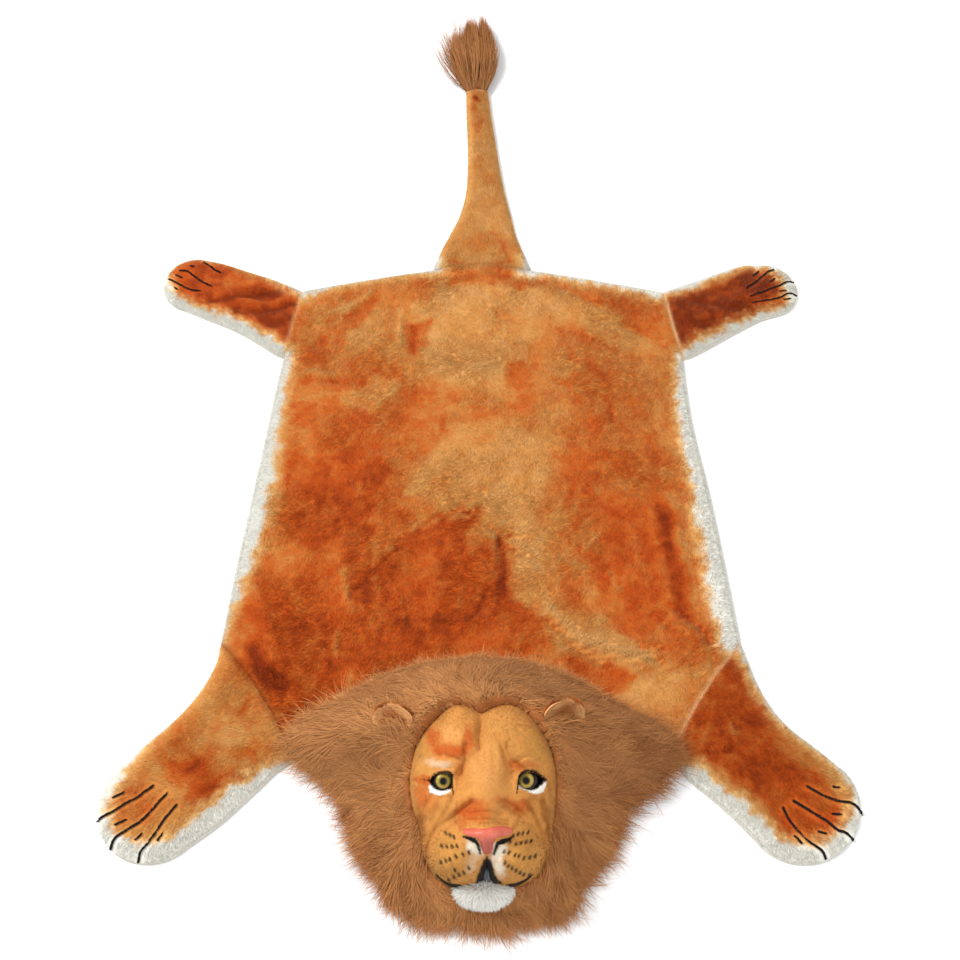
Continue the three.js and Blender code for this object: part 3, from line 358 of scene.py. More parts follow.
# Cloudy unevenness by name: its strength, the size of its widest clouds, its seed and how many layers it has.
CLOUDS = {
    "patch bend x": (9, 26, 51, 3),
    "patch bend y": (9, 26, 61, 3),
    "nap bend x": (5, 16, 291, 3),
    "nap bend y": (5, 16, 301, 3),
    "nap fringe": (2, 4, 361, 2),
    "broad dye": (0.05, 95, 21, 3),
    "upright streaks": (1, 30, 321, 2),
    "slanting streaks": (1, 34, 341, 2),
    "upright places": (1, 70, 331, 3),
    "slanting places": (1, 60, 351, 3),
    "ragged border": (4.5, 13, 71, 2),
    "border tufts": (3, 3.2, 81, 2),
    "border warmth": (0.12, 9, 251, 3),
    "straw band": (0.6, 5, 371, 2),
    "cream": (0.04, 9, 111, 3),
    "crease width": (0.3, 15, 201, 3),
    "thin ridges": (1, 46, 231, 2),
    "ridge places": (1, 80, 241, 3),
    "loose cloth": (1, 30, 91, 3),
    "tufted cloth": (0.7, 11, 101, 2),
    "swirl": (1, 60, 121, 3),
    "mane ground": (0.2, 12, 131, 3),
    "mane sweep": (0.5, 50, 141, 3),
    "face lumps": (0.5, 16, 261, 2),
    "face shade": (0.07, 14, 151, 3),
    "face bend a": (2.2, 7, 161, 3),
    "face bend b": (2.2, 7, 171, 3),
    "face patches": (0.35, 6, 271, 2),
    "face lines": (0.5, 9, 281, 3),
    "nose shade": (0.25, 6, 191, 3),
    "lining shade": (0.25, 3, 201, 3),
    "chin lumps": (1.2, 12, 211, 3),
    "chin shade": (0.1, 9, 221, 3),
}
# Patches of brushed pile by name, painted light and shade of pile brushed different ways: how much warmer
# they look one way, their size and their seed.
BRUSHED = {"wide": (0.05, 48, 31), "narrow": (0.08, 19, 37), "small": (0.06, 8, 311)}
IRIS_SEED, MANE_SEED, TUFT_SEED, DRAW_SEED = 181, 5, 8, 2024

# The face frame: a runs along +X, b up the sloping face and n out of it.
FACE_X, FACE_Y, FACE_Z = 4.0, -574.0, 132.0
LEAN = np.radians(30)
HEAD_OUTLINE = [
    (79.6, -6.4), (77, 13), (72.5, 30), (64.4, 46), (53, 61), (40, 71.5), (27, 76.5), (12, 74.5), (-3, 69),
    (-15, 73.5), (-29, 76.5), (-41, 71), (-51, 62), (-64, 48), (-73.5, 30), (-79.5, 5.8), (-81.5, -14.6),
    (-78.5, -39.1), (-70.3, -65.6), (-66.2, -92.1), (-57, -112.5), (-38.7, -126.8), (-15.2, -127.8),
    (18.4, -127.8), (42.9, -125.8), (62.3, -111.5), (72.5, -90.1), (76.6, -59.5), (79.6, -28.9),
]
HEAD_CENTRE = (0.0, -28.0)
HEAD_RIM, HEAD_DOME, HEAD_POWER, HEAD_ROUND = -44.0, 45.0, 3.1, 0.62
HEAD_SKIRT = (3, 8, 16, 30, 60, 100, 160)
# The lowest places of the pieces that reach down to the floor.
BASE, CHIN_BASE = 0.3, 0.4

# Swellings of the stuffed face: centre, half widths, turn in degrees, rise, which is below 0 for a hollow.
FACE_FORMS = [
    (-30, 50, 22, 24, 0, 9), (29, 50, 24, 24, 0, 9), (-3, 66, 6, 20, 0, -9), (-42, 22, 20, 12, 10, 4),
    (45, 23, 20, 12, -10, 4), (-45, -4, 20, 13, 0, -8), (48, -3, 20, 13, 0, -8), (-22, 4, 8, 16, 10, -3),
    (27, 4, 8, 16, -10, -3), (2, -22, 19, 40, 0, 12), (3, -56, 25, 17, 0, 14), (-34, -90, 25, 26, 0, 26),
    (39, -90, 25, 26, 0, 26), (-52, -46, 7, 24, -14, -8), (57, -46, 7, 24, 14, -8),
    (3, -104, 6, 24, 0, -13), (-20, 18, 3.5, 20, -14, -1.6), (24, 16, 3.5, 20, 16, -1.8),
    (10, 30, 2.6, 16, 4, -1.2), (-60, 34, 20, 2.6, 30, -1.2), (52, 40, 20, 2.6, -30, -1.2),
    (38, 6, 10, 3, -20, 2), (-34, 6, 10, 3, 20, 2),
]

# Creases of the face in its frame: line, half width, depth.
FACE_CREASES = [
    ([(-13, -26), (-30, -40), (-50, -60), (-61, -84), (-60, -108)], 4.5, 4.5),
    ([(22, -26), (40, -40), (58, -60), (67, -84), (64, -108)], 4.5, 4.5),
    ([(-3, 76), (-3, 60), (-6, 46), (-4, 32)], 3.2, 4.4), ([(-25, 6), (-21, 20), (-20, 36)], 3, 2.4),
    ([(31, 6), (24, 20), (20, 36), (13, 46)], 3, 2.6), ([(36, 52), (44, 47), (54, 52)], 2.6, 2),
    ([(-62, 18), (-44, 24), (-26, 20)], 3, 2.2), ([(34, 18), (50, 25), (66, 18)], 3, 2.2),
    ([(-20, -44), (0, -41), (26, -45)], 2.4, 1.8), ([(-16, -36), (2, -33), (20, -37)], 2.2, 1.4),
    ([(52, -22), (62, -34), (68, -52)], 3, 2.6), ([(-56, -20), (-64, -36), (-68, -52)], 3, 2.2),
]
CREASE_DEPTH = 1.5

# Eyes: their middle in the face frame, their radius, and how far their gaze is turned, in radii.
EYES = {"eye_left": (-44.4, -5.2, -19.0, 12.6, 0.06), "eye_right": (47.4, -4.6, -19.0, 12.6, -0.12)}
EYE_OPENING = {
    "eye_left": [(-58, -2), (-53, 3.6), (-46, 6), (-38, 6), (-35, 2), (-34.6, -6), (-38, -10.4),
        (-47.4, -11.6), (-54, -8.4)],
    "eye_right": [(38, -5), (40, 3.6), (46, 7), (54, 6.6), (60, 3.2), (65, -1.6), (60, -7), (54.5, -10.6),
        (46, -10)],
}

# The photograph's view: its distances from the picture plane and from the place it looks at, its slope, that
# place, where the face frame's middle falls on the plane, and where the eye stands in the face frame.
VIEW_DEPTH, VIEW_DISTANCE, VIEW_SLOPE = 1622.0, 1960.0, np.radians(60)
LOOK_Y = -126.0
PLANE_A, PLANE_B = 4.3, 322.2
EYE_A, EYE_B = 4, 322

# Painted lines of the face on the picture plane: thickness at the start and at the end, and the line.
FACE_BLACK = {
    "rim_left": (1.6, 2.8, [(-60, -2.2), (-54, 4.2), (-47, 7.2), (-37, 7.2), (-34.2, 3)]),
    "rim_left_inner": (2.4, 1.2, [(-34.4, 3), (-34.2, -6), (-33, -17)]),
    "rim_left_under": (1.2, 2.0, [(-59, -1.8), (-54.5, -8.6), (-47.4, -11.8), (-38.6, -10.6), (-34.6, -9)]),
    "rim_right": (3.0, 2.0, [(38, 2), (41, 6.2), (46, 8.8), (54, 8.4), (60.2, 4.4), (67, -0.4)]),
    "rim_right_inner": (1.2, 2.2, [(35.4, -16), (36.8, -4), (38.4, 3)]),
    "rim_right_under": (1.2, 2.0, [(67, -1), (61, -6.6), (55, -10.4), (47, -9.8), (38.6, -6)]),
    "corner_right": (3.6, 1.4, [(58, 0.2), (66, -1.2)]),
    "streak_left": (0.6, 1.4, [(-69, -0.4), (-59, -1.6)]),
    "nostril_left": (2.0, 5.2, [(-22.5, -61.8), (-17, -63.6), (-11, -66.2)]),
    "nostril_left_stem": (4.4, 2.4, [(-11, -65.6), (-7.6, -69), (-5.6, -74), (-4.0, -80)]),
    "nostril_right": (2.2, 6.0, [(31, -62.4), (25, -65.6), (19.6, -67.6)]),
    "nostril_right_stem": (5.4, 2.6, [(19.6, -67), (14.6, -70), (12.8, -75), (10.6, -81)]),
    "lip_stem": (1.6, 2.0, [(3.2, -83), (3.2, -92)]),
    "lip_left": (2.0, 3.2, [(2.4, -88), (-3.6, -98), (-7.5, -113)]),
    "lip_right": (2.0, 3.2, [(4, -88), (9.4, -100), (13.5, -108), (17.5, -112)]),
    "jaw_left": (1.6, 4.2, [(-51, -103), (-45, -109), (-37, -113.5), (-26, -115.5)]),
    "jaw_right": (4.4, 1.6, [(26, -115), (36.6, -113), (46, -108), (52, -103)]),
}
# Soft brown lines along the face's creases, a painted shade in them: half width, strength, line.
FACE_LINES = [
    (2.8, 0.65, [(-35, -20), (-47, -43), (-58, -62), (-62, -82), (-58, -104)]),
    (2.8, 0.65, [(46, -25), (57, -44), (64.5, -66), (67, -82), (62, -102)]),
    (2.0, 0.35, [(-29, -25), (-31, -44), (-24.5, -54)]), (2.0, 0.4, [(35, -25), (38, -41), (32, -53)]),
    (1.8, 0.4, [(-8.7, 31), (-19.7, 18.4), (-33, 6)]),
    (1.8, 0.65, [(24, 40), (25.6, 28), (36.6, 16.8), (44, 12.5)]),
    (1.3, 0.4, [(-2.6, 66), (-4, 52), (-5.6, 40)]), (1.2, 0.35, [(25, 52), (27.4, 42)]),
    (1.4, 0.4, [(34, 57), (41, 58.6), (46, 56)]), (2.4, 0.4, [(70, -6), (71, -30), (68, -56)]),
    (2.0, 0.4, [(-70, -30), (-68, -48), (-62, -60)]),
    (1.6, 0.35, [(-20, -50), (-6, -49), (8, -47), (26, -49)]),
]
WHISKER_MARKS = [
    (-41, -58.2), (-36.6, -60.4), (-32.3, -62.5), (-45.3, -72.2), (-39.9, -72.7), (-34.5, -72.7),
    (-29.1, -72.2), (-46.3, -89.4), (-41, -87.8), (-36.6, -86.2), (-30.2, -83.5), (-22.6, -81.4),
    (-16.2, -79.2), (-37.7, -108.8), (-32.3, -105.6), (-26.9, -102.9), (-21.6, -100.8), (-31.3, -98.1),
    (-16.2, -95.9), (31.3, -61.4), (36.6, -59.3), (42, -58.2), (47.4, -57.7), (28, -67.9), (34.5, -70.1),
    (39.9, -69), (45.3, -67.9), (50.7, -66.8), (21.6, -78.1), (26.9, -79.2), (33.4, -81.9), (37.7, -83),
    (43.1, -85.1), (49.6, -84.1), (55, -83), (22.6, -90.5), (25.9, -93.8), (30.2, -95.9), (34.5, -98.6),
    (38.8, -100.8), (43.1, -102.4), (48.5, -103.5),
]
# Soft painted patches of the face: colour, centre, half widths, turn in degrees, strength. The ochre on the
# whisker pads and the brown at the face's sides are partly their own colour and partly painted shade.
FACE_PATCHES = [
    ("ochre", -34, -96, 32, 30, 0, 0.5), ("ochre", 40, -92, 32, 30, 0, 0.5),
    ("rust", -54, 43, 8, 12, 10, 0.8), ("rust", -35, 31, 22, 7, -4, 0.9),
    ("rust", -17, 44, 6.5, 13, 6, 0.8), ("apricot", -34, 48, 10, 10, 0, 0.5),
    ("cream", -49, 16.5, 15, 4.2, -4, 0.42), ("rust", -65, -1, 10, 4, 0, 0.8),
    ("rust", -65, -16, 9, 11, 0, 0.6), ("rust", -60, -28, 12, 9, 30, 0.35),
    ("brown", -68, -50, 6, 18, -8, 0.65), ("rust", -11, -34, 17, 12, 0, 0.9),
    ("rust", -24, -46, 7, 10, 0, 0.5), ("rust", 40, -30, 9, 8, 0, 0.85), ("rust", 22, -24, 12, 5, 0, 0.5),
    ("rust", 36, 14, 10, 5, -30, 0.75), ("rust", 52, 16, 10, 3.5, 0, 0.4),
    ("rust", -26, 10, 6, 14, 0, 0.35), ("brown", 65, -36, 4, 22, 8, 0.7),
    ("brown", 70, -58, 4, 12, 0, 0.6), ("ochre", 60, 36, 12, 22, 20, 0.45),
    ("ochre", -66, 30, 9, 18, 0, 0.35), ("ochre", 10, 44, 14, 20, 0, 0.25),
    ("apricot", 2, 8, 18, 30, 0, 0.35), ("cream", -10, -74, 9.5, 6.5, -35, 1.0),
    ("cream", -12, -89, 7, 11, -20, 0.35), ("cream", 18, -76, 8, 8, 30, 1.0),
    ("cream", 15, -92, 7, 12, 12, 0.9), ("brown", 40, -66, 20, 7, 0, 0.22),
]
# White under the eyes: thickness and line.
UNDER_EYE_WHITE = [
    (2.6, [(-57, -8.6), (-52, -12.4), (-46, -14.4), (-38.6, -12)]), (2.2, [(-56.5, -13), (-48, -15.4)]),
    (2.4, [(39.5, -7.6), (48, -11), (56, -13.4), (62.4, -9.6)]),
    (2.0, [(57, -14), (62, -12.5), (65, -5)]),
]
# Dark cleft between the whisker pads: its middle, how far down each half width lies, and the half widths.
CLEFT_A, CLEFT_DOWN, CLEFT_HALF = 3.4, [84, 92, 113, 122], [1.5, 4.5, 10.5, 12]

NOSE_OUTLINE = [
    (-23.4, -55), (-15, -53), (-4.3, -53.4), (4, -53), (11, -51), (20, -50.6), (30.2, -53), (30, -58.6),
    (20.5, -61.4), (13.4, -63.4), (10, -69), (9, -76), (5.2, -81), (0.4, -80.6), (-2.4, -75), (-4.2, -68.4),
    (-9.6, -62.6), (-20, -60),
]
NOSE_CENTRE, NOSE_SKIRT = (3.5, -62), (4, 9, 14)
MOUTH_OUTLINE = [
    (3.2, -84), (-1.6, -92), (-6, -102), (-9.4, -114), (-8, -119), (4, -120), (17.5, -119), (19, -114),
    (13.6, -102), (8.4, -92),
]
MOUTH_CENTRE, MOUTH_SKIRT = (4.2, -108), (4, 10, 18)
CHIN = {"a": 0.0, "b": -130.0, "half_a": 28.0, "half_b": 15.0, "rim": -48.0, "dome": 26.0}
CHIN_SKIRT = (2, 6, 14, 26)
EAR = {"half_width": 24, "height": 33, "cup": 6, "thickness": 8, "roundness": 3.0}
EARS = {
    "ear_left": {"a": -96, "b": 45, "n": -41, "lean": 28, "turn": 20, "roll": 6},
    "ear_right": {"a": 85, "b": 51, "n": -40, "lean": 30, "turn": -20, "roll": -6},
}

# The mane: the outline of its ground, its middle, and its height and roundness to its back, sides and front.
MANE_RIM = [
    (-226, -490), (-201, -461), (-158, -436), (-98, -406), (-34, -392), (36, -392), (98, -411), (152, -444),
    (200, -467), (228, -493), (223, -522), (194, -548), (160, -576), (141, -606), (117, -636), (102, -664),
    (80, -684), (34, -692), (-16, -692), (-60, -685), (-90, -668), (-110, -640), (-134, -602), (-147, -566),
    (-172, -541), (-206, -521),
]
MANE_CENTRE = (2.0, -520.0)
MANE_TOPS = {"back": 160, "side": 150, "front": 100}
MANE_POWERS = {"back": 2.3, "side": 1.8, "front": 1.3}
MANE_RIM_ON_CLOTH, MANE_RIM_ON_FLOOR = 25.0, 14.0
MANE_CLOTH_ENDS = (-560, -490)
MANE_PAST_RIM = {"back": -3, "side": 9, "front": 17}
MANE_SWEEP_Y = -562
MANE_ROOT_DEPTH = 5

TUFT_ROOT = (-4.5, 556.0)
# How far the tuft's hairs reach, from its left side to its right.
TUFT_FAN = [-1.1, -0.8, -0.5, -0.35, 0.15, 0.45, 0.8, 1.1]
TUFT_REACH = [112, 124, 122, 152, 156, 148, 122, 96]
TUFT_LOCKS, MANE_LOCKS = 97, 4096

# The stage, in metres: lamps with their place, size and watts, what they light, and the camera.
LAMPS = [("key light", (-3.0, 1.0, 3.8), 1.6, 230), ("fill light", (2.6, -2.4, 2.6), 2.2, 50)]
LIT = (0, -0.1, 0)
DAYLIGHT = 0.68
CAMERA = (0, -1.106, 1.697)
SENSOR, LENS_PIXELS, PICTURE_PIXELS = 36.0, 1505, 960
FLOOR_HALF, FLOOR_LEVEL = 6000, -0.3


def paint(red, green, blue):
    """A finish's colour as linear light from its sRGB reading on a 0 to 255 scale.

    With c the reading over 255, it is c / 12.92 up to 0.04045 and ((c + 0.055) / 1.055)^2.4 above.
    """
    c = np.array([red, green, blue]) / 255
    return np.where(c <= 0.04045, c / 12.92, ((c + 0.055) / 1.055) ** 2.4)


# Colours of the pile from the palest tan to the darkest rust.
DYE_STEPS = [-0.1, 0.15, 0.4, 0.62, 0.85, 1.15]
DYES = [
    paint(205, 147, 84),
    paint(196, 133, 68),
    paint(192, 116, 53),
    paint(187, 94, 34),
    paint(177, 71, 16),
    paint(128, 44, 8),
]
CREAM = paint(222, 220, 209)
STRAW = paint(232, 186, 116)
SEAM_PALE = paint(234, 184, 128)
FELT = paint(196, 184, 160)
FACE_PAINTS = {
    "tan": paint(209, 144, 74),
    "rust": paint(190, 84, 28),
    "apricot": paint(232, 166, 98),
    "ochre": paint(188, 138, 66),
    "brown": paint(140, 76, 28),
    "cream": paint(242, 230, 208),
    "black": paint(26, 22, 20),
    "white": paint(244, 240, 232),
}
HAIR_DARK, HAIR_LIGHT = paint(148, 91, 49), paint(206, 143, 86)
IRIS, IRIS_INNER, IRIS_OUTER = paint(174, 146, 66), paint(84, 76, 36), paint(34, 28, 14)
NOSE_PINK, NOSE_DEEP = paint(212, 106, 82), paint(166, 56, 38)
LINING_DARK, LINING_GREY = paint(22, 21, 22), paint(112, 116, 122)
CHIN_WHITE = paint(240, 238, 230)
EAR_INSIDE, EAR_HOLLOW, EAR_OUTSIDE = paint(240, 180, 118), paint(208, 132, 78), paint(232, 172, 112)


# Numbers, curves and noise

def cubic(a, b, c, d, f):
    """The cubic at the share f between b and c, with a before them and d after: a Catmull-Rom curve."""
    return 0.5 * (2 * b + (c - a) * f + (2 * a - 5 * b + 4 * c - d) * f**2 + (3 * b - a - 3 * c + d) * f**3)


def smooth_line(points, t):
    """The place at t from 0 to 1 on a curve through points: one cubic for each span."""
    p = np.asarray(points, float)
    p = np.vstack([2 * p[0] - p[1], p, 2 * p[-1] - p[-2]])
    spans = len(points) - 1
    s = np.clip(np.asarray(t, float), 0, 1) * spans
    k = np.minimum(s.astype(int), spans - 1)
    return cubic(p[k], p[k + 1], p[k + 2], p[k + 3], (s - k)[..., None])


def smooth_loop(points, t):
    """The same cubics through the points of a closed loop, with t wrapping round at 1."""
    p = np.asarray(points, float)
    n = len(p)
    s = (np.asarray(t, float) % 1) * n
    k = s.astype(int) % n
    return cubic(p[k - 1], p[k], p[(k + 1) % n], p[(k + 2) % n], (s - np.floor(s))[..., None])


def ease(low, high, x):
    """0 below low, 1 above high, and 3t^2 - 2t^3 between them."""
    t = np.clip((x - low) / (high - low), 0, 1)
    return t * t * (3 - 2 * t)


def bell(d, width):
    """exp(-(d / width)^2): 1 where d is 0 and a third at the width."""
    return np.exp(-((d / width) ** 2))


def unevenness(x, y, size, seed):
    """Smooth values from -1 to 1: a lattice of random numbers, blended in each cell by 3t^2 - 2t^3."""
    n = 256
    table = np.random.default_rng(seed).uniform(-1, 1, (n, n))
    u, v = x / size, y / size
    i, j = np.floor(u).astype(int), np.floor(v).astype(int)
    f, g = u - i, v - j
    f, g = f * f * (3 - 2 * f), g * g * (3 - 2 * g)
    i, j, k, m = i % n, j % n, (i + 1) % n, (j + 1) % n
    low = table[i, j] * (1 - f) + table[k, j] * f
    high = table[i, m] * (1 - f) + table[k, m] * f
    return low * (1 - g) + high * g


def layered(x, y, size, seed, layers=3):
    """A sum of layers of unevenness, each half the size and half the strength of the one before."""
    shift_x, shift_y = 37, 19
    total = 0
    for layer in range(layers):
        shifted = x + shift_x * layer, y - shift_y * layer
        total = total + unevenness(*shifted, size / 2**layer, seed + layer) / 2**layer
    return total


def clouds(name, x, y):
    """The named cloudy unevenness at each place: its strength times its layers."""
    strength, size, seed, layers = CLOUDS[name]
    return strength * layered(x, y, size, seed, layers)


def brushed(name, x, y):
    """Named patches of brushed pile as painted light and shade: layers pushed to -1 or 1, with fairly sharp
    borders.
    """
    strength, size, seed = BRUSHED[name]
    bent = x + 0.35 * size * layered(x, y, 0.6 * size, seed + 7)
    return strength * (2 * ease(-0.25, 0.25, layered(bent, y, size, seed)) - 1)


def distance_to_line(x, y, line):
    """The least distance from each point to the straight pieces of a line."""
    least = np.full(np.shape(x), np.inf)
    for (x1, y1), (x2, y2) in zip(line[:-1], line[1:]):
        dx, dy = x2 - x1, y2 - y1
        t = np.clip(((x - x1) * dx + (y - y1) * dy) / (dx * dx + dy * dy + TINY), 0, 1)
        least = np.minimum(least, np.hypot(x - x1 - t * dx, y - y1 - t * dy))
    return least


def distance_to_curve(x, y, line, points=14):
    """The least distance from each point to the smooth curve through a line's points."""
    return distance_to_line(x, y, smooth_line(line, np.linspace(0, 1, points)))


def stroke(x, y, line, first, last):
    """How much ink of a brush lies at each point: soft discs along a line, their width from first to last."""
    spacing, outside, inside = 0.7, 0.45, 0.35
    ink = np.zeros(np.shape(x))
    length = np.sum(np.hypot(*np.diff(np.asarray(line, float), axis=0).T))
    t = np.linspace(0, 1, int(length / spacing) + 2)
    for (cx, cy), share in zip(smooth_line(line, t), t):
        radius = (first + (last - first) * share) / 2
        ink = np.maximum(ink, ease(radius + outside, radius - inside, np.hypot(x - cx, y - cy)))
    return ink


def inside_loop(x, y, loop):
    """Whether each point is inside a closed line: a ray to its right crosses it an odd number of times."""
    odd = np.zeros(np.shape(x), bool)
    for (x1, y1), (x2, y2) in zip(loop, np.roll(loop, -1, axis=0)):
        crosses = (y1 > y) != (y2 > y)
        odd ^= crosses & (x < x1 + (y - y1) / (y2 - y1 + TINY) * (x2 - x1))
    return odd


def soft_spot(x, y, cx, cy, half_x, half_y, turn):
    """exp(-r^2) with r the distance from a centre in half widths, on axes turned by some degrees."""
    c, s = np.cos(np.radians(turn)), np.sin(np.radians(turn))
    u, v = (x - cx) * c + (y - cy) * s, (y - cy) * c - (x - cx) * s
    return np.exp(-((u / half_x) ** 2) - (v / half_y) ** 2)


def firmer(spot, soft, full):
    """A share of a soft spot as it is, and the rest of it eased from 0 at 0.12 to 1 at full."""
    return soft * spot + (1 - soft) * ease(0.12, full, spot)


def unit(v):
    """Vectors of length 1 along the last axis."""
    return v / np.maximum(np.linalg.norm(v, axis=-1, keepdims=True), TINY)


def laid(heading, normal, share=1.0):
    """A heading less a share of its part along the normal, so that it lies along the surface."""
    return heading - share * normal * np.sum(heading * normal, -1, keepdims=True)


def mixed(first, second, share):
    """Two colours mixed by a share from 0 to 1: first times 1 - share plus second times share."""
    return first * (1 - share[..., None]) + second * share[..., None]


def dyed(amount):
    """The pile's colour for an amount, of dye and painted light and shade, straight between the palette's
    steps.
    """
    return np.stack([np.interp(amount, DYE_STEPS, [d[c] for d in DYES]) for c in range(3)], -1)


# Meshes

def piece(name, points, faces, tint, material, normals=None):
    """A mesh piece from points in millimetres, index arrays of its faces and a colour for each point."""
    mesh = bpy.data.meshes.new(name)
    loops = np.concatenate([np.asarray(f, np.int32).ravel() for f in faces])
    sizes = np.concatenate([np.full(len(f), np.shape(f)[1], np.int32) for f in faces])
    starts = np.concatenate([[0], np.cumsum(sizes)[:-1]]).astype(np.int32)
    mesh.vertices.add(len(points))
    mesh.vertices.foreach_set("co", (np.asarray(points, np.float32) * MM).ravel())
    mesh.loops.add(len(loops))
    mesh.loops.foreach_set("vertex_index", loops)
    mesh.polygons.add(len(sizes))
    mesh.polygons.foreach_set("loop_start", starts)
    mesh.update(calc_edges=True)
    mesh.shade_smooth()
    colours = np.ones((len(points), 4), np.float32)
    colours[:, :3] = np.clip(tint, 0, 1)
    layer = mesh.color_attributes.new(name="tint", type="FLOAT_COLOR", domain="POINT")
    layer.data.foreach_set("color", colours.ravel())
    if normals is not None:
        mesh.normals_split_custom_set_from_vertices(normals.astype(float).tolist())
    mesh.materials.append(material)
    made = bpy.data.objects.new(name, mesh)
    bpy.context.scene.collection.objects.link(made)
    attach(made, BODY)
    return made


def quads(rows, columns, start=0, closed=False):
    """The four-sided faces between neighbouring rows and columns of a grid of points numbered row by row."""
    i, j = np.meshgrid(np.arange(rows - 1), np.arange(columns if closed else columns - 1), indexing="ij")
    a, b = i * columns + j, i * columns + (j + 1) % columns
    return start + np.stack([a, b, b + columns, a + columns], -1).reshape(-1, 4)


def fan(first, turns, centre):
    """Triangles from a centre point to each side of a ring of points, numbered from its first one."""
    around = np.arange(turns)
    return np.stack([first + (around + 1) % turns, np.full(turns, centre), first + around], -1)


def rim_of(order):
    """The numbers of a grid's outer points: along its first row, down, back along its last row and up."""
    return np.concatenate([order[0, :-1], order[:-1, -1], order[-1, :0:-1], order[:0:-1, 0]])


def joined(grids):
    """The points or colours of several grids, one after the other, as one list."""
    return np.concatenate([grid.reshape(-1, 3) for grid in grids])


def grid_normals(p):
    """Unit normals of a grid: the cross product of its slopes along columns and rows, turned upwards."""
    n = unit(np.cross(np.gradient(p, axis=1), np.gradient(p, axis=0)))
    return n * np.where(n[..., 2:] < 0, -1, 1)


# Materials

class Flow:
    """A value on its way through a material's nodes: arithmetic on it adds Math nodes."""

    def __init__(self, tree, socket):
        self.tree, self.socket = tree, socket

    def math(self, operation, *values):
        """A Math node of that operation on two values."""
        made = self.tree.nodes.new("ShaderNodeMath")
        made.operation = operation
        for place, value in enumerate(values):
            put(value, made.inputs[place])
        return Flow(self.tree, made.outputs[0])

    def __add__(self, other):
        return self.math("ADD", self, other)

    def __sub__(self, other):
        return self.math("SUBTRACT", self, other)

    def __mul__(self, other):
        return self.math("MULTIPLY", self, other)


def put(value, socket):
    """Gives a socket its value: a link from a value on its way, or else a plain number or colour."""
    if isinstance(value, Flow):
        value.tree.links.new(value.socket, socket)
    else:
        socket.default_value = value


class Finish:
    """A material whose nodes are added one call at a time."""

    def __init__(self, name):
        self.material = bpy.data.materials.new(name)
        self.material.use_nodes = True
        self.tree = self.material.node_tree
        self.shader = next(n for n in self.tree.nodes if n.type == "BSDF_PRINCIPLED")

    def node(self, kind, settings=None, output=0, **inputs):
        """A node of that kind: its settings first, then the values or links of its sockets."""
        made = self.tree.nodes.new("ShaderNode" + kind)
        for key, value in (settings or {}).items():
            setattr(made, key, value)
        for key, value in inputs.items():
            put(value, made.inputs[int(key[1:]) if key[1:].isdigit() else key.replace("_", " ")])
        return Flow(self.tree, made.outputs[output])

    def place(self):
        """The place on the object, in metres."""
        return self.node("TexCoord", output=3)

    def tint(self):
        """The colour painted on the piece's points."""
        return self.node("Attribute", {"attribute_name": "tint", "attribute_type": "GEOMETRY"})

    def set(self, **inputs):
        """Gives the shader's own sockets their values or links."""
        for key, value in inputs.items():
            put(value, self.shader.inputs[key.replace("_", " ")])
        return self


def pile_finish(name, roughness, sheen, grain, depth, variation):
    """Dyed pile: its tint times 1 plus variation times noise, with bumps by the noise and a soft sheen."""
    finish = Finish(name)
    place = finish.place()
    tint = finish.tint()
    fine = finish.node("TexNoise", Vector=place, Scale=grain, Detail=3.0, Roughness=0.65)
    shade = (fine - 0.5) * variation + 1.0
    multiply = {"data_type": "RGBA", "blend_type": "MULTIPLY"}
    colour = finish.node("Mix", multiply, output=2, _0=1.0, _6=tint, _7=shade)
    bump = finish.node("Bump", Strength=0.5, Distance=depth, Height=fine)
    finish.set(Base_Color=colour, Roughness=roughness, Normal=bump, Specular_IOR_Level=0.12)
    finish.set(Sheen_Weight=sheen, Sheen_Roughness=0.5, Sheen_Tint=(1.0, 0.72, 0.45, 1.0))
    return finish.material


def eye_finish():
    """Glossy domed plastic over a painted iris: a clear coat on a fairly smooth ground."""
    finish = Finish("domed eye")
    finish.set(Base_Color=finish.tint(), Roughness=0.35, Specular_IOR_Level=0.1)
    return finish.set(Coat_Weight=0.22, Coat_Roughness=0.03).material


def nose_finish():
    """Soft pink rubber with a fine grain: bumps by the distance to the nearest of scattered cells."""
    finish = Finish("nose rubber")
    place = finish.place()
    tint = finish.tint()
    grain = finish.node("TexVoronoi", {"feature": "F1"}, Vector=place, Scale=900.0)
    bump = finish.node("Bump", Strength=0.25, Distance=0.0003, Height=grain)
    return finish.set(Base_Color=tint, Roughness=0.42, Normal=bump, Subsurface_Weight=0.05).material


# Each kind of pile: its roughness, its sheen, its noise's scale, the depth of its bumps and its variation.
plush_ground = pile_finish("plush ground", 0.95, 0.08, 420.0, 0.0012, 0.35)
plush_pile = pile_finish("plush pile", 0.9, 0.1, 300.0, 0.0003, 0.2)
face_ground = pile_finish("face plush", 0.92, 0.05, 700.0, 0.0006, 0.22)
face_pile = pile_finish("face pile", 0.9, 0.06, 500.0, 0.0002, 0.15)
long_hair = pile_finish("long hair", 0.7, 0.05, 200.0, 0.0002, 0.2)
hair_ground = pile_finish("hair ground", 1.0, 0.0, 260.0, 0.002, 0.5)
chin_hair = pile_finish("white hair", 0.75, 0.0, 300.0, 0.0002, 0.12)
domed_eye = eye_finish()
nose_rubber = nose_finish()


# Cloth panels

def between(left, right, share):
    """Sections between two edges: left times 1 - v plus right times v, with v the share of the way."""
    v = share[None, :, None]
    return left[:, None] * (1 - v) + right[:, None] * v


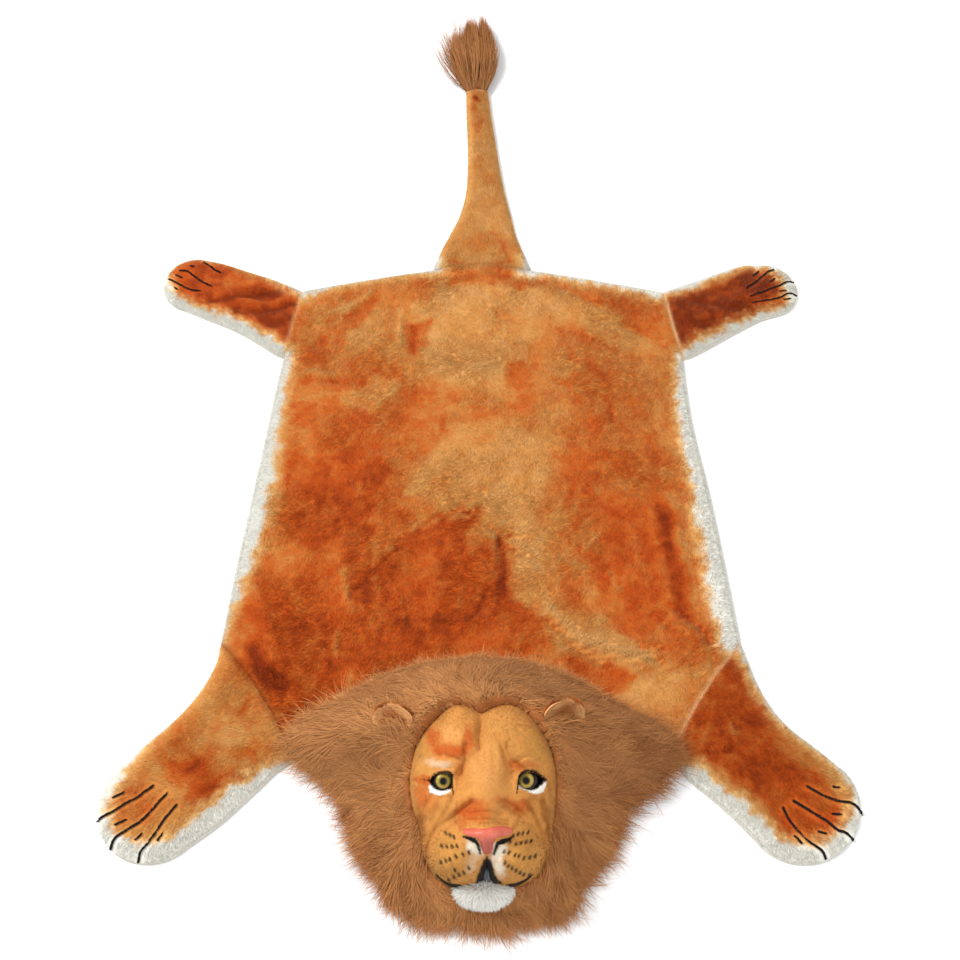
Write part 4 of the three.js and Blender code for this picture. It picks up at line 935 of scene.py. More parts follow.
def back_plan():
    """The back's sections and the rows at its start, hips and shoulders: straight from edge to edge.

    The rump bows by its bow times 1 - |2v - 1|^power, v the share of the way across, fading as (1 - t)^1.5.
    """
    spans = [
        (SEAMS["rear_left"], SEAMS["rear_right"]),
        (FLANKS["left"], FLANKS["right"]),
        (SEAMS["front_left"], SEAMS["front_right"]),
    ]
    across = np.linspace(0, 1, BACK_COLUMNS)
    rows, marks, so_far = [], [], 0
    for number, ((left, right), steps) in enumerate(zip(spans, BACK_ROWS)):
        t = np.arange(1 if number else 0, steps + 1) / steps
        p = between(smooth_line(left, t), smooth_line(right, t), across)
        if number == 0:
            bow = RUMP_BOW * (1 - t[:, None]) ** BOW_FADE
            p[..., 1] += bow * (1 - np.abs(2 * across[None, :] - 1) ** RUMP_POWER)
        rows.append(p)
        marks.append(so_far)
        so_far += steps
    return np.concatenate(rows), marks


def leg_plan(leg):
    """A leg's sections and the row of the paw's widest place: straight from side to side.

    Near the seam they bend to it by (1 - t)^3. Past the widest place they are half an ellipse round the tip.
    """
    across = np.linspace(0, 1, LEG_COLUMNS)
    t = np.linspace(0, 1, LEG_ROWS)
    v = across[None, :, None]
    outer, inner = smooth_line(leg["outer"], t), smooth_line(leg["inner"], t)
    straight = outer[:1, None] * (1 - v) + inner[:1, None] * v
    seam = smooth_line(SEAMS[leg["seam"]], across)[None]
    fade = ((1 - t) ** LEG_FADE)[:, None, None]
    limb = between(outer, inner, across) + (seam - straight) * fade
    middle = (outer[-1] + inner[-1]) / 2
    half = outer[-1] - middle
    forward = np.array([-half[1], half[0]])
    forward *= np.sign(forward @ (middle - outer[0]))
    turn = np.radians(np.linspace(4, 88, PAW_ROWS))[:, None, None]
    end = middle + forward * leg["reach"] * np.sin(turn) + half * (1 - 2 * v) * np.cos(turn)
    return np.concatenate([limb, end]), len(t) - 1


def rump_edge(x):
    """The y of the rump's edge at x: straight between its corners plus the bow times 1 - |2v - 1|^power."""
    (x1, y1), (x2, y2) = SEAMS["rear_left"][0], SEAMS["rear_right"][0]
    v = (x - x1) / (x2 - x1)
    return y1 + (y2 - y1) * v + RUMP_BOW * (1 - np.abs(2 * v - 1) ** RUMP_POWER)


def tail_plan():
    """Sections straight between the tail's edges, drawn to the rump's edge at its start by (1 - t)^8."""
    t = np.linspace(0, 1, TAIL_ROWS)
    p = between(smooth_line(TAIL["left"], t), smooth_line(TAIL["right"], t), np.linspace(0, 1, TAIL_COLUMNS))
    start = p[0]
    past = rump_edge(start[:, 0]) + TAIL["overlap"] - start[:, 1]
    p[..., 1] += ((1 - t) ** TAIL["fade"])[:, None] * past[None]
    return p


def fold_relief(panel, x, y):
    """The sum of the panel's folds: each is its rise times exp(-(distance to its line / half width)^2)."""
    relief = np.zeros_like(x)
    for line, width, rise in FOLDS.get(panel, []):
        relief += rise * bell(distance_to_line(x, y, line), width)
    return relief


def creases(panel, x, y):
    """The sums of the rises and painted shade of a panel's creases, each times exp(-(distance / width)^2)."""
    rise, warmth = np.zeros(x.shape), np.zeros(x.shape)
    uneven = 1 + clouds("crease width", x, y)
    # A crease's dye is painted shade, darker in its trough, or below 0 painted light, paler on its ridge.
    for line, width, height, dye in CREASES.get(panel, []):
        near = bell(distance_to_curve(x, y, line, 12), width * uneven)
        rise += height * near
        warmth += dye * near
    return rise, warmth


def dye_and_nap_light_shade(panel, x, y, base):
    """How warm the pile looks: its own amount plus soft patches, drawn to a nap field's own by a share.

    The share eases off over the blur at the outline. Clouds, brushed patches and pale streaks come last.
    The nap fields, brushed patches and pale streaks are painted light and shade of pile laid different ways.
    """
    bent_x, bent_y = x + clouds("patch bend x", x, y), y + clouds("patch bend y", x, y)
    amount = base
    for cx, cy, half_x, half_y, turn, strength in DYE_PATCHES:
        spot = soft_spot(bent_x, bent_y, cx, cy, half_x, half_y, turn)
        amount = amount + strength * firmer(spot, 0.45, 0.55)
    bent_x = x + clouds("nap bend x", x, y) + clouds("nap fringe", x, y)
    bent_y = y + clouds("nap bend y", x, y)
    for warmth, loop in NAP_FIELDS.get(panel, []):
        away = distance_to_line(bent_x, bent_y, loop + loop[:1])
        depth = np.where(inside_loop(bent_x, bent_y, loop), away, -away)
        amount = amount + (warmth - amount) * NAP_SHARE * ease(-NAP_BLUR, NAP_BLUR, depth)
    amount = amount + clouds("broad dye", x, y) + brushed("wide", bent_x, bent_y)
    amount = amount + brushed("narrow", 1.2 * bent_x, 0.8 * bent_y) + brushed("small", x, y)
    upright = bell(clouds("upright streaks", 1.7 * bent_x, 0.6 * bent_y), 0.05)
    slanting = bell(clouds("slanting streaks", bent_x + bent_y, bent_y - bent_x), 0.06)
    amount = amount - 0.16 * upright * ease(-0.2, 0.5, clouds("upright places", x, y))
    return amount - 0.14 * slanting * ease(-0.1, 0.6, clouds("slanting places", x, y))


def edge_fields(x, y, edges):
    """How far points are from free edges, seams and past the cream border, their cream and seam tone.

    Cream eases off at its ragged border. A seam's tone is times exp(-(distance / width)^2).
    """
    free, seam, past = np.full((3, *x.shape), np.inf)
    cream, pale = np.zeros((2, *x.shape))
    ragged = clouds("ragged border", x, y) + clouds("border tufts", x, y)
    for line, width, tone in edges:
        d = distance_to_line(x, y, line[:: max(1, len(line) // EDGE_POINTS)])
        if width is None:
            seam = np.minimum(seam, d)
            pale = pale + tone * bell(d, 2.4 if tone > 0 else 5)
        else:
            free = np.minimum(free, d)
            border = width + ragged * ease(0, 9, width)
            cream = np.maximum(cream, ease(-3.5, 4, border - d) * (width > 0.5))
            past = np.minimum(past, np.maximum(d - border, 0) + 5 * (width < 1.5))
    return free, seam, cream, past, pale


def panel_tint(panel, x, y, amount, cream, past, pale):
    """A panel's colours: dyed, paler and strawy by exp(-(past / width)^2), then cream, then its seams."""
    amount = amount + (0.1 + clouds("border warmth", x, y) - amount) * 0.72 * bell(past, 10)
    straw = bell(past, 8.5) * np.clip(0.7 + clouds("straw band", x, y), 0, 1)
    # The body's straw and cream are painted darker towards the left: a painted shade that tones down the side
    # facing the key light.
    shade_on_left = 1 - (0.2 if panel == "body" else 0) * ease(-180, -240, x)[..., None]
    tint = mixed(dyed(amount), STRAW * shade_on_left, straw)
    tint = mixed(tint, CREAM * shade_on_left * (1 + clouds("cream", x, y)[..., None]), cream)
    tint = mixed(tint, SEAM_PALE, np.clip(pale, 0, 1))
    # Below 0 a seam's tone darkens the pile: a painted shade in the seam's fold.
    return mixed(tint, dyed(amount + 0.5) * 0.45, np.clip(-pale, 0, 1))


def plush_panel(panel, plan, base, edges, extra=0.0):
    """A panel's fields on its grid: points, colours, normals, distance to a free edge and short pile.

    An edge is a line, its cream border's width or None for a seam, and the seam's tone. The height rises
    from the bound edge as a quarter ellipse, with folds, creases, ridges where one of the clouds passes 0
    and clouds, and dips at seams by exp(-(distance / width)^2).
    """
    x, y = plan[..., 0], plan[..., 1]
    free, seam, cream, past, pale = edge_fields(x, y, edges)
    crease, crease_shading = creases(panel, x, y)
    ridge = bell(clouds("thin ridges", 1.4 * x, 0.8 * y), 0.07) * ease(0.0, 0.5, clouds("ridge places", x, y))
    t = np.clip(free / EDGE_ROUND, 0, 1)
    z = BOUND_EDGE + (GROUND - BOUND_EDGE) * np.sqrt(1 - (1 - t) ** 2)
    inner = np.clip(free / (2 * EDGE_ROUND), 0, 1)
    z = z + inner * (fold_relief(panel, x, y) + crease + 0.9 * ridge) + extra
    uneven = clouds("loose cloth", x, y) + clouds("tufted cloth", x, y)
    z = z + np.clip(2 * free / EDGE_ROUND, 0, 1) * uneven
    z = np.maximum(z - SEAM_DIP * bell(seam, SEAM_WIDTH), THINNEST)
    # Crease shading and the paler thin ridges are painted shade and painted light on the relief.
    amount = dye_and_nap_light_shade(panel, x, y, base) + crease_shading - 0.16 * ridge
    short = np.zeros(x.shape)
    for thickness, line in TOE_MARKS.get(panel, []):
        short = np.maximum(short, ease(thickness + 6, thickness, distance_to_curve(x, y, line, 24)))
    points = np.stack([x, y, z], -1)
    tint = panel_tint(panel, x, y, amount, cream, past, pale)
    return {"points": points, "tint": tint, "normals": grid_normals(points), "free": free, "short": short}


def cloth_slab(name, node, fields):
    """The panel as a closed slab, and its area: half the sum of x1 y2 - y1 x2 round its rim.

    Its top is every second point of the grid, and its underside has one felt face for each row.
    """
    top, shown = fields["points"][::2, ::2], fields["tint"][::2, ::2]
    rows, columns = top.shape[:2]
    order = np.arange(rows * columns).reshape(rows, columns)
    rim = rim_of(order)
    number = np.full(rows * columns, -1)
    number[rim] = rows * columns + np.arange(len(rim))
    flat_rim = top.reshape(-1, 3)[rim].copy()
    flat_rim[:, 2] = UNDERSIDE
    after = np.roll(rim, -1)
    walls = np.stack([rim, number[rim], number[after], after], -1)
    left, right = number[order[:, 0]], number[order[:, -1]]
    middle = np.stack([left[1:-2], left[2:-1], right[2:-1], right[1:-2]], -1)
    first = np.concatenate([number[order[0]][::-1], [left[1], right[1]]])[None]
    last = np.concatenate([number[order[-1]], [right[-2], left[-2]]])[None]
    faces = [quads(rows, columns), walls, middle, first, last]
    x, y = flat_rim[:, 0], flat_rim[:, 1]
    turn = np.sum(x * np.roll(y, -1) - y * np.roll(x, -1))
    if turn < 0:
        faces = [f[:, ::-1] for f in faces]
    tint = joined([shown, np.tile(FELT, (len(rim), 1))])
    made = piece(name, joined([top, flat_rim]), faces, tint, plush_ground)
    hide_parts(node)
    return made, abs(turn) / 2


def sown(points, count, rng):
    """Random places on a grid, by the area of its cells: row and column with their fractions."""
    across, down = points[:-1, 1:] - points[:-1, :-1], points[1:, :-1] - points[:-1, :-1]
    area = np.linalg.norm(np.cross(across, down), axis=-1).ravel()
    cell = rng.choice(len(area), count, p=area / area.sum())
    columns = points.shape[1] - 1
    return cell // columns, cell % columns, rng.random(count), rng.random(count)


def read(field, places):
    """A field's value at sown places, blended from the four corners of each cell."""
    i, j, f, g = places
    f, g = (f[:, None], g[:, None]) if field.ndim == 3 else (f, g)
    low = field[i, j] * (1 - g) + field[i, j + 1] * g
    high = field[i + 1, j] * (1 - g) + field[i + 1, j + 1] * g
    return low * (1 - f) + high * f


def blades(name, root, normal, heading, length, width, rise, tint, material, rng, tips=1.14, roots=0.78,
           scatter=0.25):
    """Short pile: each blade is a triangle whose tip is its length along heading + rise times normal.

    Normal draws scatter shades and normals. The tint is times roots at the root and tips at the tip: a painted
    shade deep in the pile and a painted light on the tips.
    """
    side = unit(np.cross(normal, heading))
    tip = root + length[:, None] * unit(heading + rise[:, None] * normal)
    half = side * width[:, None] / 2
    points = np.stack([root + half, root - half, tip], 1).reshape(-1, 3)
    points[:, 2] = np.maximum(points[:, 2], 0.1)
    shade = 1 + 0.4 * scatter * rng.standard_normal((len(root), 1))
    colour = np.stack([tint * shade * roots, tint * shade * roots, tint * shade * tips], 1).reshape(-1, 3)
    lean = unit(normal + 0.35 * heading + scatter * rng.standard_normal(normal.shape))
    normals = np.repeat(lean, 3, axis=0)
    faces = [np.arange(len(points)).reshape(-1, 3)]
    return piece(name, points, faces, colour, material, normals)


def outwards(fields):
    """Towards the nearest free edge: the slope of the distance to it, turned round."""
    by_row, by_column = [slope[..., None] for slope in np.gradient(fields["free"])]
    plan = fields["points"][..., :2]
    down, along = np.gradient(plan, axis=0), np.gradient(plan, axis=1)
    return -(by_row * down / (np.sum(down**2, -1, keepdims=True) + SLIGHT)
             + by_column * along / (np.sum(along**2, -1, keepdims=True) + SLIGHT))


def cloth_pile(name, fields, kind, lay, rng, spread=20):
    """Pile on a cloth panel, brushed along its lay with swirls, and towards a near free edge.

    The edge's share is exp(-(distance / spread)^2). Blades are shorter at the edge and by toe marks.
    """
    count = kind["count"]
    places = sown(fields["points"], count, rng)
    root, tint, free, short = [read(fields[key], places) for key in ("points", "tint", "free", "short")]
    normal = unit(read(fields["normals"], places))
    out = unit(np.nan_to_num(read(outwards(fields), places)))
    near = bell(free, spread)[:, None]
    turn = kind["swirl"] * clouds("swirl", root[:, 0], root[:, 1]) + 0.35 * rng.standard_normal(count)
    c, s = np.cos(turn), np.sin(turn)
    combed = np.stack([lay[0] * c - lay[1] * s, lay[0] * s + lay[1] * c], -1)
    flat = unit(combed * (1 - near) + out * near + 0.15 * rng.standard_normal((count, 2)))
    heading = unit(laid(np.concatenate([flat, np.zeros((count, 1))], -1), normal))
    length = kind["length"] * (0.75 + 0.5 * rng.random(count)) * (0.45 + 0.55 * np.clip(free / 10, 0, 1))
    length = length * (1 - 0.65 * short)
    rise = 0.32 + 0.25 * rng.random(count)
    width = kind["width"] * (0.7 + 0.6 * rng.random(count))
    root = root - normal * 0.6 - heading * 0.45 * length[:, None]
    return blades(name, root, normal, heading, length, width, rise, tint, plush_pile, rng, tips=1.07,
                  roots=0.86, scatter=0.2)


def toe_pile(name, fields, rng):
    """Black pile of the toe marks: short blades along each line, spread over its thickness at random.

    Each stands just above the nearest point of the ground. Those past the paw's rim are left out.
    """
    ground = fields["points"].reshape(-1, 3)
    roots, headings = [], []
    for thickness, line in TOE_MARKS[name]:
        span = np.sum(np.linalg.norm(np.diff(line, axis=0), axis=1))
        t = rng.random(int(TOE["blades"] * span))
        here = smooth_line(line, t)
        ahead = unit(smooth_line(line, np.clip(t + 0.02, 0, 1)) - smooth_line(line, np.clip(t - 0.02, 0, 1)))
        aside = np.stack([-ahead[:, 1], ahead[:, 0]], -1)
        here = here + aside * (rng.random((len(t), 1)) - 0.5) * thickness * TOE["fill"]
        away = np.sum((ground[None, :, :2] - here[:, None]) ** 2, -1)
        nearest, on_paw = np.argmin(away, axis=1), np.min(away, axis=1) < TOE["reach"] ** 2
        placed = np.concatenate([here - TOE["back"] * ahead, ground[nearest, 2:] + TOE["up"]], -1)
        roots.append(placed[on_paw])
        headings.append(np.concatenate([ahead, np.zeros((len(t), 1))], -1)[on_paw])
    root, heading = np.concatenate(roots), np.concatenate(headings)
    count = len(root)
    normal, tint = np.tile([0.0, 0.0, 1.0], (count, 1)), np.tile(FACE_PAINTS["black"], (count, 1))
    length, width, rise = [np.full(count, TOE[key]) for key in ("length", "width", "rise")]
    return blades(name + "_toe_marks", root, normal, heading, length, width, rise, tint, plush_pile,
                  rng, tips=1.0, roots=1.0, scatter=0.1)


def declare_cloth(fields, with_pieces):
    """Works out the size of the box round a panel's points, in metres, and does nothing more with it."""
    p = fields["points"].reshape(-1, 3)
    size = (p.max(0) - p.min(0)) * MM


def build_floor():
    """A wide pale floor, level with the underside of the rug."""
    half = FLOOR_HALF
    corners = [(-half, -half), (half, -half), (half, half), (-half, half)]
    mesh = bpy.data.meshes.new("floor")
    mesh.from_pydata([(x * MM, y * MM, FLOOR_LEVEL * MM) for x, y in corners], [], [(0, 1, 2, 3)])
    made = bpy.data.objects.new("floor", mesh)
    bpy.context.scene.collection.objects.link(made)
    finish = Finish("pale floor").set(Base_Color=(0.93, 0.93, 0.93, 1), Roughness=0.9)
    mesh.materials.append(finish.material)


def build_back(rng):
    """The back panel: slab and pile. The rump's edge is a seam at the tail and free beside it."""
    plan, (_, hip, shoulder) = back_plan()
    y, rump = plan[..., 1], plan[0]
    edges = []
    for side, edge in (("left", plan[:, 0]), ("right", plan[:, -1])):
        edges.append((edge[:hip + 1], None, SEAM_TONES["rear_" + side][0]))
        edges.append((edge[hip:shoulder + 1], np.interp(y, *BACK_CREAM[side]), 0))
        edges.append((edge[shoulder:], None, SEAM_TONES["front_" + side][0]))
    by_x = np.interp(plan[..., 0], *BACK_CREAM["rump"])
    from_tail = np.abs(rump[:, 0] - TAIL["middle"])
    off_tail = rump[from_tail > 60]
    edges += [
        (off_tail[off_tail[:, 0] < 0], by_x, 0),
        (off_tail[off_tail[:, 0] > 0], by_x, 0),
        (rump[from_tail < 62], None, SEAM_TONES["tail"][0]),
        (plan[-1], 0 * y, 0),
    ]
    fields = plush_panel("body", plan, BACK_WARMTH, edges)
    made, area = cloth_slab("back_cloth", "body", fields)
    pile = cloth_pile("back_pile", fields, PILE["back"], BACK_LAY, rng)
    declare_cloth(fields, [pile])


def build_leg(name, leg, rng):
    """A leg: slab, pile brushed to the paw, and toe marks, its cream straight between the table's steps."""
    plan, wrist = leg_plan(leg)
    rows, columns = plan.shape[:2]
    whole = np.zeros((rows, columns))
    cream = leg["cream"]
    share = np.clip(np.arange(rows) / wrist, 0, 1)[:, None] + whole
    outer, inner = [np.interp(share, np.linspace(0, 1, 6), cream[side]) for side in ("outer", "inner")]
    across = np.linspace(0, 1, columns)[None] + whole
    edges = [
        (plan[0], None, SEAM_TONES[leg["seam"]][1]),
        (plan[:wrist + 1, 0], outer, 0),
        (plan[:wrist + 1, -1], inner, 0),
        (np.concatenate([plan[wrist:, 0], plan[:wrist:-1, -1]]),
         np.interp(across, np.linspace(0, 1, len(cream["tip"])), cream["tip"]), 0),
    ]
    fields = plush_panel(name, plan, leg["warmth"], edges)
    made, area = cloth_slab(name + "_cloth", name, fields)
    lay = tuple(unit(plan[wrist].mean(0) - plan[0].mean(0)))
    pile = cloth_pile(name + "_pile", fields, PILE["leg"], lay, rng)
    declare_cloth(fields, [pile, toe_pile(name, fields, rng)])


def build_tail(rng):
    """The tail: slab and pile. Its stuffing adds the root of 1 - u^2 across, eased in along its length."""
    plan = tail_plan()
    y = plan[..., 1]
    corners = np.interp(y, *TAIL["cream"])
    edges = [
        (plan[0], None, SEAM_TONES["tail"][1]),
        (plan[:, 0], corners, 0),
        (plan[:, -1], corners, 0),
        (plan[-1], 0 * y, 0),
    ]
    round_form = np.sqrt(np.clip(1 - np.linspace(-1, 1, plan.shape[1]) ** 2, 0, 1))[None]
    extra = TAIL["stuffing"] * ease(*TAIL["stuffed_from"], y) * round_form
    fields = plush_panel("tail", plan, TAIL["warmth"], edges, extra)
    made, area = cloth_slab("tail_cloth", "tail", fields)
    pile = cloth_pile("tail_pile", fields, PILE["tail"], (0.0, 1.0), rng, spread=7)
    declare_cloth(fields, [pile])


# Long hair

def hairs(name, paths, width, tint_root, tint_tip, normals, material, rng):
    """Long hairs: ribbons whose width falls as (1 - s)^0.7 and whose colour goes to the tip's by s^0.8."""
    count, steps = paths.shape[:2]
    s = np.linspace(0, 1, steps)
    ahead = np.gradient(paths, axis=1)
    side = unit(np.cross(normals, ahead) + 0.5 * rng.standard_normal((count, 1, 3)))
    half = side * width[:, None, None] / 2 * ((1 - s) ** 0.7)[None, :, None]
    pairs = np.stack([paths - half, paths + half], 2).reshape(count, 2 * steps, 3)
    points = pairs[:, :-1].reshape(-1, 3)
    grade = s[None, :, None] ** 0.8
    colour = tint_root[:, None] * (1 - grade) + tint_tip[:, None] * grade
    colour = np.repeat(colour, 2, axis=1)[:, :-1].reshape(-1, 3)
    lean = unit(normals + 0.3 * rng.standard_normal((count, 1, 3)))
    lean = np.repeat(lean, 2, axis=1)[:, :-1].reshape(-1, 3)
    start = (np.arange(count) * (2 * steps - 1))[:, None]
    k = 2 * np.arange(steps - 2)[None]
    ribbon = np.stack([start + k, start + k + 2, start + k + 3, start + k + 1], -1).reshape(-1, 4)
    last = start[:, 0] + 2 * (steps - 2)
    tips = np.stack([last, last + 2, last + 1], -1)
    return piece(name, points, [ribbon, tips], colour, material, lean)


def face_coordinates(p):
    """Points in the face frame: a, b and n, with y and z turned about its middle by its lean."""
    x, y, z = p[..., 0] - FACE_X, p[..., 1] - FACE_Y, p[..., 2] - FACE_Z
    c, s = np.cos(LEAN), np.sin(LEAN)
    return x, y * c + z * s, z * c - y * s


def from_face(a, b, n):
    """Points of the rug's frame from the face frame: the same turn the other way round."""
    c, s = np.cos(LEAN), np.sin(LEAN)
    a, b, n = np.broadcast_arrays(a, b, n)
    return np.stack([FACE_X + a, FACE_Y + b * c - n * s, FACE_Z + b * s + n * c], -1)


def up_the_face(v):
    """Headings of the rug's frame from headings along a and b of the face."""
    return np.stack([v[:, 0], v[:, 1] * np.cos(LEAN), v[:, 1] * np.sin(LEAN)], -1)


def polar(a, b, centre):
    """The direction and the distance of each place from a centre."""
    u, v = a - centre[0], b - centre[1]
    return np.arctan2(v, u), np.hypot(u, v)


def loop_line(loop, count):
    """That many places, evenly round the smooth curve through a loop's points."""
    return smooth_loop(loop, np.linspace(0, 1, count, endpoint=False))


def polar_reach(loop, centre, turns):
    """How far a smooth loop reaches from a centre in each direction, straight between many places on it."""
    line = loop_line(loop, LOOP_POINTS) - centre
    angle = np.arctan2(line[:, 1], line[:, 0])
    order = np.argsort(angle)
    return np.interp(turns, angle[order], np.hypot(*line.T)[order], period=2 * np.pi)


def by_quarter(values, s):
    """A value that is the back's at s = 1, the side's at 0 and the front's at -1, joined by a parabola."""
    back, side, front = values["back"], values["side"], values["front"]
    return side + (back - front) / 2 * s + ((back + front) / 2 - side) * s * s


def beside_head(points):
    """How far points are outside the stuffed head's outline as seen along n, below 0 within it."""
    turn, out = polar(*face_coordinates(points)[:2], HEAD_CENTRE)
    return out - polar_reach(HEAD_OUTLINE, HEAD_CENTRE, turn)


def mane_height(x, y):
    """The mane's mound: its rim plus its rise times 1 - r^power, with r the share of the way to its rim.

    Past the rim it falls as exp(-distance / 9). By the head it is under n = -40 plus 1.1 times the distance.
    """
    turn, out = polar(x, y, MANE_CENTRE)
    reach = polar_reach(MANE_RIM, MANE_CENTRE, turn)
    r, s = out / reach, np.sin(turn)
    cloth = ease(*MANE_CLOTH_ENDS, MANE_CENTRE[1] + reach * s)
    low = MANE_RIM_ON_FLOOR + (MANE_RIM_ON_CLOTH - MANE_RIM_ON_FLOOR) * cloth
    z = low + (by_quarter(MANE_TOPS, s) - low) * (1 - np.clip(r, 0, 1) ** by_quarter(MANE_POWERS, s))
    ground = 2.0 + 9.0 * cloth
    outside = np.clip((r - 1) * reach, 0, 200)
    z = np.where(r > 1, ground + (low - ground) * np.exp(-outside / 9), z)
    gap = beside_head(np.stack([x, y, z], -1))
    deepest = -40 + 1.1 * np.clip(gap, 0, 60)
    most = FACE_Z + (deepest + (y - FACE_Y) * np.sin(LEAN)) / np.cos(LEAN)
    return np.minimum(z, np.maximum(most, low))


def build_mane_ground():
    """The mane's ground: 5 under its mound, 0.6 beside the head and at most 20 high beneath the head.

    Its rings lie 1 - (1 - share)^1.15 of the way out.
    """
    r = 1 - (1 - np.linspace(0.02, 1, MANE_RINGS)) ** 1.15
    rim = loop_line(MANE_RIM, MANE_TURNS)
    plan = np.array(MANE_CENTRE) + (rim - MANE_CENTRE)[None] * r[:, None, None]
    points = np.concatenate([plan, mane_height(plan[..., 0], plan[..., 1])[..., None]], -1)
    points[..., 2] -= MANE_ROOT_DEPTH - 4.4 * ease(25, 5, beside_head(points))
    points[..., 2] = np.where(beside_head(points) < -2, np.minimum(points[..., 2], 20), points[..., 2])
    uneven = clouds("mane ground", points[..., 0], points[..., 1])
    # Lighter beside the head: a painted light that fills the shade between the hairs there.
    shade = 0.85 + uneven + 0.35 * ease(20, 3, beside_head(points))
    foot = points[-1].copy()
    foot[:, 2] = np.where(foot[:, 1] > -545, 10.5, BASE)
    last, centre = MANE_RINGS * MANE_TURNS, (MANE_RINGS + 1) * MANE_TURNS
    faces = [
        quads(MANE_RINGS + 1, MANE_TURNS, closed=True),
        fan(last, MANE_TURNS, centre),
        np.arange(MANE_TURNS)[None],
    ]
    tint = joined([HAIR_DARK * shade[..., None], np.tile(HAIR_DARK, (MANE_TURNS + 1, 1))])
    every = joined([points, foot, np.array([*MANE_CENTRE, BASE])])
    ground = piece("mane_ground", every, faces, tint, hair_ground)
    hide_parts("mane")


def mane_roots(rng):
    """Roots of the mane's hairs, their directions and shares of the way out, each the root of a draw.

    None is under the head, and a share 1.1 reach / longest reach + 0.25 of the others is kept.
    """
    drawn = 3 * MANE_HAIRS
    turn = rng.uniform(-np.pi, np.pi, drawn)
    reach = polar_reach(MANE_RIM, MANE_CENTRE, turn)
    share = np.sqrt(rng.uniform(0.01, 0.95, drawn))
    x, y = [middle + way(turn) * reach * share for middle, way in zip(MANE_CENTRE, (np.cos, np.sin))]
    root = np.stack([x, y, mane_height(x, y) - MANE_ROOT_DEPTH], -1)
    keep = (beside_head(root) > -9) & (rng.random(drawn) < 1.1 * (reach / reach.max()) + 0.25)
    return root[keep][:MANE_HAIRS], turn[keep][:MANE_HAIRS], share[keep][:MANE_HAIRS]


def mane_locks(turn, share):
    """Five normal draws for each hair, the same for the hairs of one cell of a wavy grid."""
    around = np.round(turn * 30 + 0.6 * np.sin(share * 40))
    out = np.round(share * 11 + 0.35 * np.sin(turn * 13))
    number = (around * 53 + out * 101).astype(int) % MANE_LOCKS
    return np.random.default_rng(MANE_SEED).standard_normal((MANE_LOCKS, 5))[number].T


def mane_paths(root, turn, swept, longer, curled, lifted, rng):
    """The hairs' paths and normals: each runs outwards over the mound, bends evenly and ends by the rim.

    It starts 5 (1 - s)^2 under the mound and is lifted by sin(0.8 pi s)^0.8, and by sin(pi s) over ears. One
    that ends too far past the rim is cut back three times.
    """
    count, side = len(root), np.sin(turn)
    s = np.linspace(0, 1, MANE_STEPS)[None]
    outward = np.arctan2(root[:, 1] - MANE_SWEEP_Y, root[:, 0] - MANE_CENTRE[0])
    outward += 0.24 * swept + clouds("mane sweep", root[:, 0], root[:, 1]) + 0.2 * rng.standard_normal(count)
    length = 48 + 8 * longer + 7 * rng.standard_normal(count)
    limit = by_quarter(MANE_PAST_RIM, side) + 5 * lifted + 4 * rng.standard_normal(count)
    wisp = 38 * rng.random(count) ** 2 * (rng.random(count) < 0.3)
    limit = limit + wisp * (1 - 0.5 * ease(0.2, 0.7, side))
    bend = 0.5 * curled + 0.25 * rng.standard_normal(count)
    angle = outward[:, None] + bend[:, None] * s
    for _ in range(3):
        step = length[:, None] / (MANE_STEPS - 1)
        x = root[:, :1] + np.cumsum(np.cos(angle) * step, 1) - np.cos(angle[:, :1]) * step
        y = root[:, 1:2] + np.cumsum(np.sin(angle) * step, 1) - np.sin(angle[:, :1]) * step
        end_turn, out = polar(x[:, -1], y[:, -1], MANE_CENTRE)
        past = out - polar_reach(MANE_RIM, MANE_CENTRE, end_turn)
        length = np.maximum(length - np.maximum(past - limit, 0), 8)
    surface = mane_height(x, y)
    lift = (4 + 6 * rng.random(count) + 2 * lifted)[:, None] * np.sin(np.pi * np.clip(s * 0.8, 0, 1)) ** 0.8
    lift = lift * (0.35 + 0.65 * ease(0, 30, beside_head(root)))[:, None]
    for ear in EARS.values():
        foot = from_face(ear["a"], ear["b"] - 6, ear["n"])
        over_ear = 14 * soft_spot(root[:, 0], root[:, 1], foot[0], foot[1], 24, 16, 0) * rng.random(count)
        lift = lift + over_ear[:, None] * np.sin(np.pi * np.clip(s, 0, 0.9))
    z = surface - MANE_ROOT_DEPTH * (1 - s) ** 2 + lift * (1 - 0.5 * s)
    z = np.maximum(z, np.where(y > -505, 11.0, 1.0))
    probe = 3.0
    slope_x = (mane_height(x + probe, y) - surface) / probe
    slope_y = (mane_height(x, y + probe) - surface) / probe
    normals = unit(np.stack([-slope_x, -slope_y, np.ones_like(slope_x)], -1))
    return np.stack([x, y, z], -1), normals


def build_mane(rng):
    """The mane: its ground and its hairs in thirds, paler by lock and draw and towards the back."""
    build_mane_ground()
    root, turn, share = mane_roots(rng)
    swept, longer, curled, lifted, paler = mane_locks(turn, share)
    paths, normals = mane_paths(root, turn, swept, longer, curled, lifted, rng)
    x, y, count = root[:, 0], root[:, 1], len(root)
    tone = 0.5 + 0.16 * paler + 0.1 * rng.standard_normal(count) + 0.22 * ease(-620, -470, y)
    # Darker towards the right: a painted shade on the side away from the key light.
    tip = mixed(HAIR_DARK, HAIR_LIGHT, np.clip(tone - 0.24 * ease(40, 180, x), 0, 1))
    # Roots darker, a painted shade deep in the mane, and less so beside the head, a painted light there.
    dark = tip * (0.74 + 0.22 * ease(25, 0, beside_head(root)))[:, None]
    width = 0.7 + 0.4 * rng.random(count)
    for third, chosen in (("left", x < -75), ("middle", np.abs(x) <= 75), ("right", x > 75)):
        hairs("mane_hair_" + third, paths[chosen], width[chosen], dark[chosen], tip[chosen] * 1.08,
              normals[chosen], long_hair, rng)


